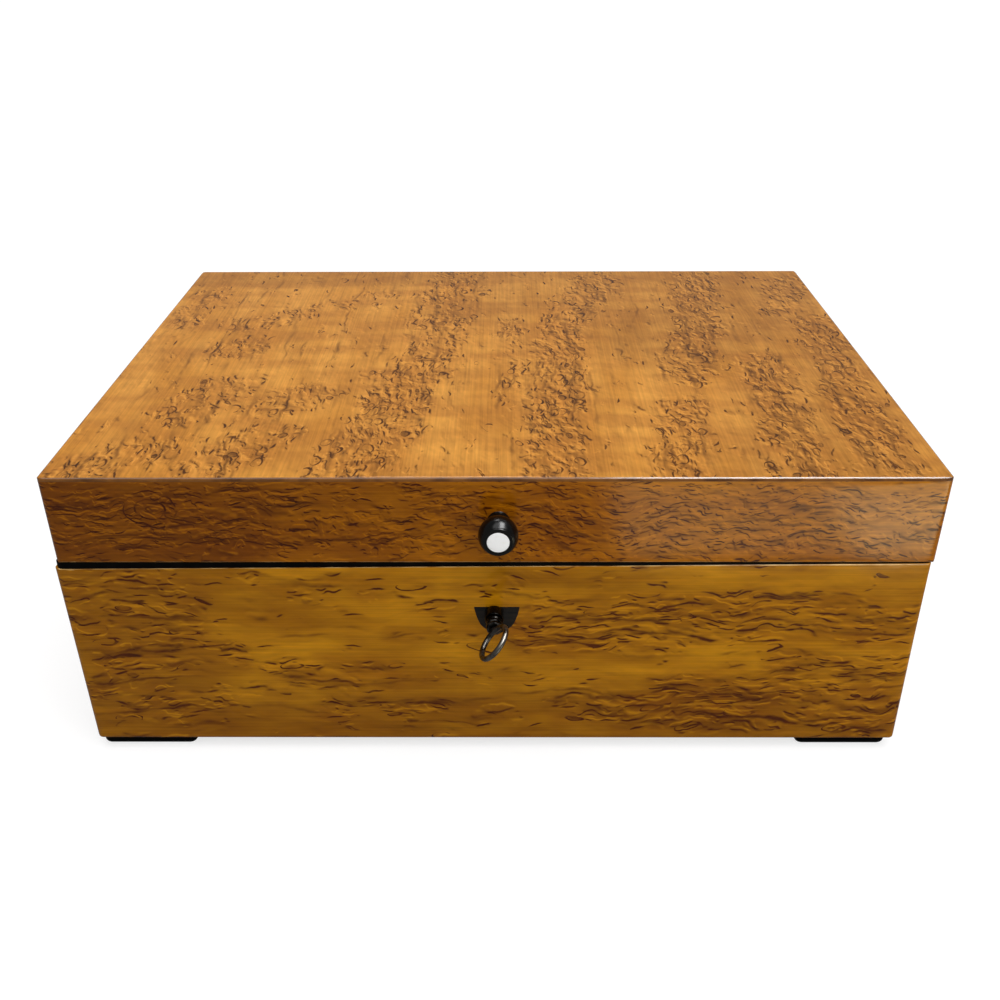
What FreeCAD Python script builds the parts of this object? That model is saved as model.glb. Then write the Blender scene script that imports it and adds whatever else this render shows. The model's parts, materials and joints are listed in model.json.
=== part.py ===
import FreeCAD, Part
import math
import os
import re
import Sketcher

# A veneered wooden box for papers and keepsakes: a carcass on four feet, a hinged lid with a knob,
# and a link-plate lock with its key. X runs to the right, Y to the back and Z up.
# The origin is on the ground under the middle of the carcass.

doc = FreeCAD.newDocument("WoodenBox")
sheet = doc.addObject("Spreadsheet::Sheet", "Sizes")

# Driving dimensions in millimetres; names ending in angle are degrees, in share are shares of a size.
SIZES = {
    # Carcass and lid
    "box_width": 340.0,
    "box_depth": 250.0,
    "base_height": 88.0,
    "lid_height": 37.2,
    "lid_gap": 0.1,
    "board_thickness": 9.5,
    "bottom_thickness": 7.0,
    "crown_thickness": 9.0,
    "veneer": 1.5,
    "edge_round": 1.3,
    "corner_lap": 4.0,
    "rebate": 5.0,
    "rim_thickness": 2.2,
    "overrun": 2.0,
    # Feet
    "foot_height": 5.0,
    "foot_length": 39.0,
    "foot_width": 30.0,
    "foot_inset": 2.0,
    "foot_round": 1.5,
    # Knob
    "knob_offset": 1.8,
    "knob_radius": 7.55,
    "knob_reach": 15.3,
    "knob_neck_radius": 3.8,
    "knob_neck": 4.4,
    "knob_round": 2.4,
    "knob_back_round": 1.6,
    "knob_tenon_radius": 2.6,
    "knob_tenon": 8.0,
    "knob_clearance": 0.05,
    "disc_radius": 4.45,
    "disc_depth": 1.2,
    # Hinges
    "hinge_margin": 65.0,
    "hinge_length": 38.0,
    "hinge_inset": 1.5,
    "hinge_clearance": 0.3,
    "lid_open_angle": 100.0,
    "stop_spare_angle": 2.0,
    "barrel_radius": 2.5,
    "pin_radius": 1.1,
    "pin_clearance": 0.05,
    "knuckle_count": 5.0,
    "knuckle_gap": 0.2,
    "leaf_thickness": 1.3,
    "leaf_depth": 8.0,
    "leaf_gap": 0.4,
    # Wood screws
    "screw_radius": 1.1,
    "screw_head_radius": 2.0,
    "screw_head_height": 0.9,
    "screw_length": 9.0,
    "screw_slot_width": 0.5,
    "screw_slot_depth": 0.35,
    "screw_clearance": 0.05,
    "hinge_screw_spacing": 13.0,
    "leaf_screw_count": 3.0,
    # Lock
    "key_drop": 23.2,
    "lock_width": 56.0,
    "lock_depth": 8.5,
    "lock_below_key": 8.0,
    "lock_plate": 1.2,
    "selvedge_width": 76.0,
    "selvedge_thickness": 1.4,
    "selvedge_screw_place": 33.0,
    "bolt_thickness": 2.2,
    "bolt_bar_height": 5.3,
    "bolt_bar_lift": 4.2,
    "talon_width": 3.8,
    "talon_depth": 2.4,
    "prong_length": 7.6,
    "prong_height": 3.0,
    "prong_gap": 0.8,
    "post_width": 3.0,
    "loop_place": 12.0,
    "loop_thickness": 2.0,
    "loop_width": 5.0,
    "loop_clearance": 0.4,
    "loop_drop": 10.5,
    "loop_foot": 1.2,
    "slot_clearance": 0.5,
    "link_plate_length": 62.0,
    "link_plate_width": 8.0,
    "link_plate_thickness": 1.4,
    "link_screw_place": 24.0,
    "spring_thickness": 0.5,
    "spring_length": 8.0,
    "spring_rise": 2.6,
    "spring_foot": 2.0,
    "spring_gap": 0.05,
    "drill_pin_radius": 0.9,
    "drill_pin_length": 5.5,
    # Key and escutcheon
    "key_rest_angle": 50.0,
    "key_radius": 1.9,
    "key_bore_clearance": 0.08,
    "key_end_gap": 0.3,
    "key_hole_clearance": 0.25,
    "bit_reach": 6.0,
    "bit_thickness": 1.6,
    "bit_length": 4.2,
    "collar_radius": 3.3,
    "collar_start": 0.6,
    "collar_length": 5.2,
    "ring_radius": 3.1,
    "ring_root_radius": 2.4,
    "ring_width": 1.9,
    "ring_count": 3.0,
    "ring_crest_share": 0.5,
    "key_neck_radius": 1.6,
    "bow_distance": 20.0,
    "bow_radius": 7.1,
    "bow_wire": 1.1,
    "shield_offset": 1.0,
    "shield_width": 17.8,
    "shield_height": 12.5,
    "shield_above_key": 2.5,
    "shield_flank_share": 0.36,
    "shield_waist_share": 0.85,
}
for row, (alias, size) in enumerate(SIZES.items(), start=1):
    sheet.set(f"A{row}", alias)
    sheet.set(f"B{row}", str(size))
    sheet.setAlias(f"B{row}", alias)
doc.recompute()

# Planes of the box that several pieces share, written as formulas on the sheet.
FRONT = "(-box_depth/2)"
BACK = "(box_depth/2)"
RIGHT = "(box_width/2)"
WALL = "(veneer + board_thickness)"
BASE_LOW = "foot_height"
BASE_HIGH = "(foot_height + base_height)"
RIM_TOP = f"({BASE_HIGH} + rim_thickness)"
LID_LOW = f"({RIM_TOP} + lid_gap)"
LID_HIGH = f"({LID_LOW} + lid_height)"
CROWN_HIGH = f"({LID_HIGH} - veneer)"
CROWN_LOW = f"({CROWN_HIGH} - crown_thickness)"
BOTTOM_HIGH = "(foot_height + bottom_thickness)"
PIN_Y = f"({BACK} - hinge_inset)"
PIN_Z = f"({RIM_TOP} + lid_gap/2)"

pieces = {}


def bound(formula):
    """Points the size names in a formula at the sheet's cells."""
    return re.sub(r"[a-z]\w*", lambda word: f"Sizes.{word[0]}" if word[0] in SIZES else word[0], formula)


def place(thing, x, y, z):
    for direction, formula in zip("xyz", (x, y, z)):
        thing.setExpression(f"Placement.Base.{direction}", bound(formula))


def block(name, x, y, z):
    """A rectangular block between a low and a high plane in each direction."""
    box = doc.addObject("Part::Box", name)
    for side, (low, high) in zip(("Length", "Width", "Height"), (x, y, z)):
        box.setExpression(side, bound(f"({high}) - ({low})"))
    place(box, x[0], y[0], z[0])
    return box


def around(centre, width):
    """Low and high plane of a width about a centre."""
    return f"(({centre}) - ({width})/2)", f"(({centre}) + ({width})/2)"


TURNS = {
    "x": FreeCAD.Rotation(FreeCAD.Vector(0, 1, 0), 90),
    "y": FreeCAD.Rotation(FreeCAD.Vector(1, 0, 0), -90),
    "z": FreeCAD.Rotation(),
}


def rod(name, along, radius, start, length):
    """A round rod that runs from its start point in the positive direction."""
    cylinder = doc.addObject("Part::Cylinder", name)
    cylinder.setExpression("Radius", bound(radius))
    cylinder.setExpression("Height", bound(length))
    cylinder.Placement = FreeCAD.Placement(FreeCAD.Vector(), TURNS[along])
    place(cylinder, *start)
    return cylinder


def fuse(name, *shapes):
    union = doc.addObject("Part::MultiFuse", name)
    union.Shapes = list(shapes)
    return union


def cut(name, base, *tools):
    remainder = doc.addObject("Part::Cut", name)
    remainder.Base = base
    remainder.Tool = tools[0] if len(tools) == 1 else fuse(f"{name}_cutters", *tools)
    return remainder


def node(label, thing):
    """Gives a finished piece the label that names its file."""
    thing.Label = label
    pieces[label] = thing


def body(name):
    return doc.addObject("PartDesign::Body", name)


def origin_plane(owner, role):
    return next(feature for feature in owner.Origin.OriginFeatures if feature.Role == role)


def outline(owner, role, lift, corners):
    """A closed outline of straight lines on a plane of the body, lifted along the plane's normal."""
    sketch = owner.newObject("Sketcher::SketchObject", f"{owner.Name}_outline")
    sketch.AttachmentSupport = [(origin_plane(owner, role), "")]
    sketch.MapMode = "FlatFace"
    sketch.setExpression("AttachmentOffset.Base.z", bound(lift))
    count = len(corners)
    turns = [2 * math.pi * corner / count for corner in range(count)]
    starts = [FreeCAD.Vector(math.cos(turn), math.sin(turn), 0) for turn in turns]
    for corner, start in enumerate(starts):
        sketch.addGeometry(Part.LineSegment(start, starts[(corner + 1) % count]))
    for corner in range(count):
        sketch.addConstraint(Sketcher.Constraint("Coincident", corner, 2, (corner + 1) % count, 1))
    for corner, formulas in enumerate(corners):
        for kind, formula, value in zip(("DistanceX", "DistanceY"), formulas, starts[corner]):
            index = sketch.addConstraint(Sketcher.Constraint(kind, corner, 1, value))
            sketch.setExpression(f"Constraints[{index}]", bound(formula))
    return sketch


def pad(owner, sketch, length, midplane=False):
    feature = owner.newObject("PartDesign::Pad", f"{owner.Name}_pad")
    feature.Profile = sketch
    feature.setExpression("Length", bound(length))
    feature.Midplane = midplane
    doc.recompute()
    return feature


def revolve(owner, sketch):
    feature = owner.newObject("PartDesign::Revolution", f"{owner.Name}_turned")
    feature.Profile = sketch
    feature.ReferenceAxis = (sketch, ["V_Axis"])
    feature.Angle = 360
    doc.recompute()
    return feature


def round_edges(owner, feature, radius, chosen):
    """Rounds the edges of a feature that a test on the edge's box picks out."""
    names = [f"Edge{i}" for i, edge in enumerate(feature.Shape.Edges, start=1) if chosen(edge.BoundBox)]
    fillet = owner.newObject("PartDesign::Fillet", f"{owner.Name}_round")
    fillet.Base = (feature, names)
    fillet.setExpression("Radius", bound(radius))
    doc.recompute()
    return fillet


def rectangle(x, y):
    return [(x[0], y[0]), (x[1], y[0]), (x[1], y[1]), (x[0], y[1])]


TINY = 1e-6


def upright(box):
    return box.XLength < TINY and box.YLength < TINY


# Tools that several pieces share

# The stop groove is a V along the back of the joint, with its point on the hinge pins' axis.
# Its two faces meet when the lid stands open.
groove = body("stop_groove")
groove_reach = "(hinge_inset + overrun)"
groove_rise = f"({groove_reach} * tan((lid_open_angle + stop_spare_angle)/2))"
groove_corners = [
    (PIN_Y, PIN_Z),
    (f"{PIN_Y} + {groove_reach}", f"{PIN_Z} - {groove_rise}"),
    (f"{PIN_Y} + {groove_reach}", f"{PIN_Z} + {groove_rise}"),
]
pad(groove, outline(groove, "YZ_Plane", "0", groove_corners), "box_width + 2*overrun", midplane=True)

HINGES = {"left": f"(-{RIGHT} + hinge_margin)", "right": f"({RIGHT} - hinge_margin)"}
LEAF_FRONT = f"({PIN_Y} - leaf_depth)"
LEAF_TOP = f"({PIN_Z} - leaf_gap/2)"
LEAF_LOW = f"({LEAF_TOP} - leaf_thickness)"
UPPER_LEAF_LOW = f"({PIN_Z} + leaf_gap/2)"
UPPER_LEAF_TOP = f"({UPPER_LEAF_LOW} + leaf_thickness)"
barrel_reliefs = []
base_mortises = []
lid_mortises = []
for side, hinge_x in HINGES.items():
    relief_length = "(hinge_length + 2*hinge_clearance)"
    relief_start = (f"{hinge_x} - {relief_length}/2", PIN_Y, PIN_Z)
    relief = rod(f"barrel_relief_{side}", "x", "barrel_radius + hinge_clearance", relief_start, relief_length)
    barrel_reliefs.append(relief)
    seat_x = around(hinge_x, relief_length)
    seat_y = (LEAF_FRONT, f"{BACK} + overrun")
    base_mortises.append(block(f"base_mortise_{side}", seat_x, seat_y, (LEAF_LOW, f"{LID_LOW}")))
    lid_mortises.append(block(f"lid_mortise_{side}", seat_x, seat_y, (f"{RIM_TOP}", UPPER_LEAF_TOP)))

LEAF_SCREW_Y = f"({LEAF_FRONT} + {PIN_Y} - barrel_radius)/2"
leaf_screws = int(sheet.get("leaf_screw_count"))
LEAF_SCREWS = [
    (f"{hinge_x} + hinge_screw_spacing*({index} - (leaf_screw_count - 1)/2)", LEAF_SCREW_Y)
    for hinge_x in HINGES.values()
    for index in range(leaf_screws)
]


def screw(name, x, y, face, points_down, spare="0"):
    """A countersunk wood screw with its head flush in a face; with a spare, the hole that it sits in."""
    head = doc.addObject("Part::Cone", f"{name}_head")
    narrow, wide = ("Radius1", "Radius2") if points_down else ("Radius2", "Radius1")
    head.setExpression(narrow, bound(f"screw_radius + {spare}"))
    head.setExpression(wide, bound(f"screw_head_radius + {spare}"))
    head.setExpression("Height", bound("screw_head_height"))
    head_low = f"{face} - screw_head_height" if points_down else face
    place(head, x, y, head_low)
    shank_low = f"{face} - screw_length" if points_down else f"{face} + screw_head_height"
    shank_start = (x, y, f"{shank_low} - {spare}" if points_down else shank_low)
    shank = rod(f"{name}_shank", "z", f"screw_radius + {spare}", shank_start,
                f"screw_length - screw_head_height + {spare}")
    return fuse(name, head, shank)


def slotted_screws(label, spots, face, points_down):
    """Like screws in one face, each with a straight driver's slot, kept together as one node."""
    screws = doc.addObject("Part::Compound", label)
    members = []
    for index, (x, y) in enumerate(spots, start=1):
        slot_z = (f"{face} - screw_slot_depth", f"{face} + overrun")
        if not points_down:
            slot_z = (f"{face} - overrun", f"{face} + screw_slot_depth")
        slot_x = around(x, "2*screw_head_radius + overrun")
        slot = block(f"{label}_slot_{index}", slot_x, around(y, "screw_slot_width"), slot_z)
        blank = screw(f"{label}_blank_{index}", x, y, face, points_down)
        members.append(cut(f"{label}_{index}", blank, slot))
    screws.Links = members
    node(label, screws)


def screw_holes(name, spots, face, points_down):
    return [
        screw(f"{name}_hole_{index}", x, y, face, points_down, "screw_clearance")
        for index, (x, y) in enumerate(spots, start=1)
    ]


KEY_Z = f"({RIM_TOP} - key_drop)"
KEY_HOLE = "(key_radius + key_hole_clearance)"
LOCK_INNER = f"({FRONT} + {WALL})"
LOCK_OUTER = f"({LOCK_INNER} - lock_depth)"
LOCK_LOW = f"({KEY_Z} - lock_below_key)"
SELVEDGE_LOW = f"({RIM_TOP} - selvedge_thickness)"
BOLT_Y = f"(({LOCK_INNER} + {LOCK_OUTER})/2)"
SELVEDGE_Y = (f"{FRONT} + veneer", LOCK_INNER)
SELVEDGE_SCREWS = [(f"{sign}selvedge_screw_place", BOLT_Y) for sign in ("-", "")]
LINK_SCREWS = [(f"{sign}link_screw_place", BOLT_Y) for sign in ("-", "")]

# The keyhole runs from the front face into the lock: a round hole for the shank, a slot for the bit.
keyhole_y = (f"{FRONT} - overrun", f"{LOCK_OUTER} + lock_plate + key_hole_clearance")
keyhole = fuse(
    "keyhole",
    rod("keyhole_round", "y", KEY_HOLE, ("0", keyhole_y[0], KEY_Z), f"{keyhole_y[1]} - ({keyhole_y[0]})"),
    block("keyhole_slot", around("0", "bit_thickness + 2*key_hole_clearance"), keyhole_y,
          (f"{KEY_Z} - bit_reach - key_hole_clearance", KEY_Z)),
)
lock_recess = block("lock_recess", around("0", "lock_width"), (LOCK_OUTER, f"{LOCK_INNER} + overrun"),
                    (LOCK_LOW, RIM_TOP))
selvedge_seat = block("selvedge_seat", around("0", "selvedge_width"),
                      (SELVEDGE_Y[0], f"{LOCK_INNER} + overrun"), (SELVEDGE_LOW, f"{RIM_TOP} + overrun"))
lock_holes = screw_holes("lock", SELVEDGE_SCREWS, RIM_TOP, True)
base_hinge_holes = screw_holes("base_hinge", LEAF_SCREWS, LEAF_TOP, True)
lid_hinge_holes = screw_holes("lid_hinge", LEAF_SCREWS, UPPER_LEAF_LOW, False)
link_holes = screw_holes("link", LINK_SCREWS, LID_LOW, False)

# Carcass boards: front and back run the full width and lap over the ends of the side boards
CARCASS_X = (f"-{RIGHT} + veneer", f"{RIGHT} - veneer")
FRONT_BOARD_Y = (f"{FRONT} + veneer", LOCK_INNER)
BACK_BOARD_Y = (f"{BACK} - {WALL}", f"{BACK} - veneer")
SIDE_BOARD_Y = (f"{FRONT} + veneer + corner_lap", f"{BACK} - veneer - corner_lap")
SIDES = {
    "left": (f"-{RIGHT} + veneer", f"-{RIGHT} + {WALL}"),
    "right": (f"{RIGHT} - {WALL}", f"{RIGHT} - veneer"),
}
PANEL_X = (f"-{RIGHT} + {WALL} - rebate", f"{RIGHT} - {WALL} + rebate")
PANEL_Y = (f"{FRONT} + {WALL} - rebate", f"{BACK} - {WALL} + rebate")


def wall_boards(unit, z, panel, front_cuts, back_cuts):
    """The four boards of the base or the lid, rebated for each other and for the panel."""
    ends = [block(f"{unit}_{side}_end_rebate", x, SIDE_BOARD_Y, z) for side, x in SIDES.items()]
    for side, y, cuts in (("front", FRONT_BOARD_Y, front_cuts), ("back", BACK_BOARD_Y, back_cuts)):
        board = block(f"{unit}_{side}_blank", CARCASS_X, y, z)
        node(f"{unit}_{side}_board", cut(f"{unit}_{side}_board", board, panel, *ends, *cuts))
    for side, x in SIDES.items():
        board = block(f"{unit}_{side}_blank", x, SIDE_BOARD_Y, z)
        node(f"{unit}_{side}_board", cut(f"{unit}_{side}_board", board, panel))


bottom = block("base_bottom_board", PANEL_X, PANEL_Y, (BASE_LOW, BOTTOM_HIGH))
node("base_bottom_board", bottom)
crown = block("lid_top_board", PANEL_X, PANEL_Y, (CROWN_LOW, CROWN_HIGH))
node("lid_top_board", crown)

KNOB_Z = f"(({LID_LOW} + {LID_HIGH})/2)"
KNOB_AT = ("knob_offset", FRONT, KNOB_Z)
tenon_hole = rod("knob_tenon_hole", "y", "knob_tenon_radius + knob_clearance",
                 ("knob_offset", f"{FRONT} - overrun", KNOB_Z), "overrun + knob_tenon + knob_clearance")
link_seat = block("link_plate_seat", around("0", "link_plate_length"), around(BOLT_Y, "link_plate_width"),
                  (RIM_TOP, f"{LID_LOW} + link_plate_thickness"))
wall_boards("base", (BASE_LOW, BASE_HIGH), bottom, [keyhole, lock_recess, *lock_holes],
            [*barrel_reliefs, *base_hinge_holes])
wall_boards("lid", (LID_LOW, CROWN_HIGH), crown, [tenon_hole, link_seat, *link_holes],
            [*barrel_reliefs, *lid_mortises, *lid_hinge_holes])

# Veneers: front and back cover the edges of the side veneers, and the top veneer covers all of them
shield = body("keyhole_escutcheon_blank")
SHIELD_TOP = f"({KEY_Z} + shield_above_key)"
shield_corners = [
    (f"shield_offset + ({sign})*shield_width/2*({across})", f"{SHIELD_TOP} - shield_height*({down})")
    for sign, across, down in (
        (-1, "1", "0"),
        (-1, "shield_waist_share", "shield_flank_share"),
        (1, "0", "1"),
        (1, "shield_waist_share", "shield_flank_share"),
        (1, "1", "0"),
    )
]
pad(shield, outline(shield, "XZ_Plane", f"-{FRONT} - veneer", shield_corners), "veneer")
node("keyhole_escutcheon", cut("keyhole_escutcheon", shield, keyhole))


def broad_veneer(label, y, z, outer_is_low):
    """A front or back veneer over the full width, with its two outer upright edges rounded."""
    owner = body(f"{label}_sheet")
    sheet_pad = pad(owner, outline(owner, "XY_Plane", z[0], rectangle((f"-{RIGHT}", RIGHT), y)),
                    f"{z[1]} - ({z[0]})")
    outer = sheet_pad.Shape.BoundBox.YMin if outer_is_low else sheet_pad.Shape.BoundBox.YMax
    round_edges(owner, sheet_pad, "edge_round", lambda box: upright(box) and abs(box.YMin - outer) < TINY)
    return owner


LEVELS = {"base": (BASE_LOW, BASE_HIGH), "lid": (LID_LOW, CROWN_HIGH)}
FRONT_Y = (FRONT, f"{FRONT} + veneer")
BACK_Y = (f"{BACK} - veneer", BACK)
veneer_cuts = {
    "base_front_veneer": [shield],
    "base_back_veneer": barrel_reliefs,
    "lid_front_veneer": [tenon_hole],
    "lid_back_veneer": [groove, *barrel_reliefs, *lid_mortises],
}
for unit, level in LEVELS.items():
    for side, y in (("front", FRONT_Y), ("back", BACK_Y)):
        label = f"{unit}_{side}_veneer"
        node(label, cut(label, broad_veneer(label, y, level, side == "front"), *veneer_cuts[label]))
    for side, x in (("left", (f"-{RIGHT}", f"-{RIGHT} + veneer")), ("right", (f"{RIGHT} - veneer", RIGHT))):
        label = f"{unit}_{side}_veneer"
        node(label, block(label, x, (f"{FRONT} + veneer", f"{BACK} - veneer"), level))

top_sheet = body("lid_top_veneer")
top_corners = rectangle((f"-{RIGHT}", RIGHT), (FRONT, BACK))
top_pad = pad(top_sheet, outline(top_sheet, "XY_Plane", CROWN_HIGH, top_corners), "veneer")
top_low = top_pad.Shape.BoundBox.ZMin
round_edges(top_sheet, top_pad, "edge_round", lambda box: box.ZMax > top_low + TINY)
node("lid_top_veneer", top_sheet)

# Rim edging: four black strips, mitred at the corners, on the upper edge of the base
inner_x = f"({RIGHT} - {WALL})"
inner_y = f"({BACK} - {WALL})"
outer_corners = rectangle((f"-{RIGHT}", RIGHT), (FRONT, BACK))
inner_corners = rectangle((f"-{inner_x}", inner_x), (f"-{inner_y}", inner_y))
rim_cuts = {
    "front": [selvedge_seat, lock_recess, *lock_holes],
    "right": [groove],
    "back": [groove, *barrel_reliefs, *base_mortises, *base_hinge_holes],
    "left": [groove],
}
for index, (side, cuts) in enumerate(rim_cuts.items()):
    start, end = index, (index + 1) % len(rim_cuts)
    mitred = [outer_corners[start], outer_corners[end], inner_corners[end], inner_corners[start]]
    strip = body(f"rim_{side}_strip")
    pad(strip, outline(strip, "XY_Plane", BASE_HIGH, mitred), "rim_thickness")
    label = f"rim_edging_{side}"
    node(label, cut(label, strip, *cuts))

# Feet: four flat blocks glued under the corners, with their lower edges and upright corners rounded
FOOT_X = {
    "left": (f"-{RIGHT} + foot_inset", f"-{RIGHT} + foot_inset + foot_length"),
    "right": (f"{RIGHT} - foot_inset - foot_length", f"{RIGHT} - foot_inset"),
}
FOOT_Y = {
    "front": (f"{FRONT} + foot_inset", f"{FRONT} + foot_inset + foot_width"),
    "back": (f"{BACK} - foot_inset - foot_width", f"{BACK} - foot_inset"),
}
for depth, y in FOOT_Y.items():
    for side, x in FOOT_X.items():
        foot = body(f"foot_{depth}_{side}")
        foot_pad = pad(foot, outline(foot, "XY_Plane", "0", rectangle(x, y)), "foot_height")
        foot_top = foot_pad.Shape.BoundBox.ZMax
        round_edges(foot, foot_pad, "foot_round", lambda box: box.ZMin < foot_top - TINY)
        node(f"foot_{depth}_{side}", foot)

# Knob: turned from one piece with its tenon, with a white disc let into its end
knob = body("lid_knob")
place(knob, *KNOB_AT)
knob_profile = [
    ("0", "knob_tenon"),
    ("knob_tenon_radius", "knob_tenon"),
    ("knob_tenon_radius", "0"),
    ("knob_neck_radius", "0"),
    ("knob_neck_radius", "-knob_neck"),
    ("knob_radius", "-knob_neck"),
    ("knob_radius", "-knob_reach"),
    ("disc_radius", "-knob_reach"),
    ("disc_radius", "-knob_reach + disc_depth"),
    ("0", "-knob_reach + disc_depth"),
]
turned = revolve(knob, outline(knob, "XY_Plane", "0", knob_profile))
knob_box = turned.Shape.BoundBox


def widest(box):
    return box.XLength > knob_box.XLength - TINY


front_round = round_edges(knob, turned, "knob_round",
                          lambda box: widest(box) and box.YMax < knob_box.YMin + TINY)
back_edge = turned.Shape.BoundBox.YMin + sheet.get("knob_reach") - sheet.get("knob_neck")
round_edges(knob, front_round, "knob_back_round",
            lambda box: widest(box) and abs(box.YMin - back_edge) < TINY and box.YLength < TINY)
node("lid_knob", knob)
disc_start = ("knob_offset", f"{FRONT} - knob_reach", KNOB_Z)
node("knob_disc", rod("knob_disc", "y", "disc_radius", disc_start, "disc_depth"))

# Hinges: two brass butt hinges let into the rim, each with a loose-fitting pin through its knuckles
KNUCKLE = "(hinge_length/knuckle_count)"
base_leaf_holes = screw_holes("base_leaf", LEAF_SCREWS, LEAF_TOP, True)
lid_leaf_holes = screw_holes("lid_leaf", LEAF_SCREWS, UPPER_LEAF_LOW, False)
knuckles = int(sheet.get("knuckle_count"))


def hinge_leaf(label, hinge_x, z, mine, holes):
    """A leaf with every second knuckle of the barrel, bored for the pin and drilled for its screws."""
    parts = [block(f"{label}_plate", around(hinge_x, "hinge_length"),
                   (LEAF_FRONT, f"{PIN_Y} - barrel_radius - hinge_clearance"), z)]
    for index in range(mine, knuckles, 2):
        low = f"{hinge_x} - hinge_length/2 + {KNUCKLE}*{index} + knuckle_gap/2"
        length = f"{KNUCKLE} - knuckle_gap"
        parts.append(rod(f"{label}_knuckle_{index}", "x", "barrel_radius", (low, PIN_Y, PIN_Z), length))
        web_y = (f"{PIN_Y} - barrel_radius - hinge_clearance - leaf_thickness", PIN_Y)
        parts.append(block(f"{label}_web_{index}", (low, f"{low} + {length}"), web_y, z))
    bore = rod(f"{label}_bore", "x", "pin_radius + pin_clearance",
               (f"{hinge_x} - hinge_length/2 - overrun", PIN_Y, PIN_Z), "hinge_length + 2*overrun")
    node(label, cut(label, fuse(f"{label}_blank", *parts), bore, *holes))


for hinge_index, (side, hinge_x) in enumerate(HINGES.items()):
    own_holes = slice(leaf_screws * hinge_index, leaf_screws * (hinge_index + 1))
    lower, upper = (LEAF_LOW, LEAF_TOP), (UPPER_LEAF_LOW, UPPER_LEAF_TOP)
    hinge_leaf(f"hinge_{side}_base_leaf", hinge_x, lower, 0, base_leaf_holes[own_holes])
    hinge_leaf(f"hinge_{side}_lid_leaf", hinge_x, upper, 1, lid_leaf_holes[own_holes])
    pin_start = (f"{hinge_x} - hinge_length/2", PIN_Y, PIN_Z)
    node(f"hinge_{side}_pin", rod(f"hinge_{side}_pin", "x", "pin_radius", pin_start, "hinge_length"))
slotted_screws("hinge_base_screws", LEAF_SCREWS, LEAF_TOP, True)
slotted_screws("hinge_lid_screws", LEAF_SCREWS, UPPER_LEAF_LOW, False)

# Lock: a case with its selvedge in the rim, closed from inside the box by a cap with the drill pin
LOOPS = {"left": "(-loop_place)", "right": "loop_place"}
CASE_X = around("0", "lock_width")
CAVITY_X = around("0", "lock_width - 2*lock_plate")
CAVITY_LOW = f"({LOCK_LOW} + lock_plate)"
CAP_Y = (f"{LOCK_INNER} - lock_plate", LOCK_INNER)
case_blank = fuse(
    "lock_case_blank",
    block("lock_case_box", CASE_X, (LOCK_OUTER, LOCK_INNER), (LOCK_LOW, SELVEDGE_LOW)),
    block("lock_selvedge", around("0", "selvedge_width"), SELVEDGE_Y, (SELVEDGE_LOW, RIM_TOP)),
)
cavity = block("lock_cavity", CAVITY_X, (f"{LOCK_OUTER} + lock_plate", f"{LOCK_INNER} + overrun"),
               (CAVITY_LOW, SELVEDGE_LOW))
loop_slots = [
    block(f"loop_slot_{side}", around(loop_x, "loop_thickness + 2*slot_clearance"),
          around(BOLT_Y, "loop_width + 2*slot_clearance"),
          (f"{SELVEDGE_LOW} - overrun", f"{RIM_TOP} + overrun"))
    for side, loop_x in LOOPS.items()
]
node("lock_case", cut("lock_case", case_blank, cavity, keyhole, *loop_slots, *screw_holes(
    "selvedge", SELVEDGE_SCREWS, RIM_TOP, True)))
node("lock_cap", block("lock_cap", CAVITY_X, CAP_Y, (CAVITY_LOW, SELVEDGE_LOW)))
node("drill_pin", rod("drill_pin", "y", "drill_pin_radius", ("0", f"{CAP_Y[0]} - drill_pin_length", KEY_Z),
                      "drill_pin_length"))
slotted_screws("lock_screws", SELVEDGE_SCREWS, RIM_TOP, True)

# Bolt: a bar over the key with a talon for the bit, and two hooked prongs that enter the loops
BAR_LOW = f"({KEY_Z} + bolt_bar_lift)"
BAR_HIGH = f"({BAR_LOW} + bolt_bar_height)"
BOLT_DEPTH = around(BOLT_Y, "bolt_thickness")
PRONG_LOW = f"({LID_LOW} - loop_drop + loop_foot + loop_clearance)"
PRONG_HIGH = f"({PRONG_LOW} + prong_height)"
TALON_X = "(bit_reach*cos(key_rest_angle))"
prong_tip = {side: f"({loop_x} + loop_thickness/2 + prong_gap)" for side, loop_x in LOOPS.items()}
post_low = {side: f"({tip} + prong_length)" for side, tip in prong_tip.items()}
bolt_parts = [block("bolt_bar", (prong_tip["left"], f"{post_low['right']} + post_width"), BOLT_DEPTH,
                    (BAR_LOW, BAR_HIGH))]
for side in LOOPS:
    post_x = (post_low[side], f"{post_low[side]} + post_width")
    prong_x = (prong_tip[side], post_x[1])
    bolt_parts.append(block(f"bolt_post_{side}", post_x, BOLT_DEPTH, (BAR_LOW, PRONG_HIGH)))
    bolt_parts.append(block(f"bolt_prong_{side}", prong_x, BOLT_DEPTH, (PRONG_LOW, PRONG_HIGH)))
talon = block("bolt_talon", around(TALON_X, "talon_width"), around(BOLT_Y, "bolt_thickness + 2*overrun"),
              (f"{BAR_LOW} - overrun", f"{BAR_LOW} + talon_depth"))
node("lock_bolt", cut("lock_bolt", fuse("lock_bolt_blank", *bolt_parts), talon))

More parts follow.
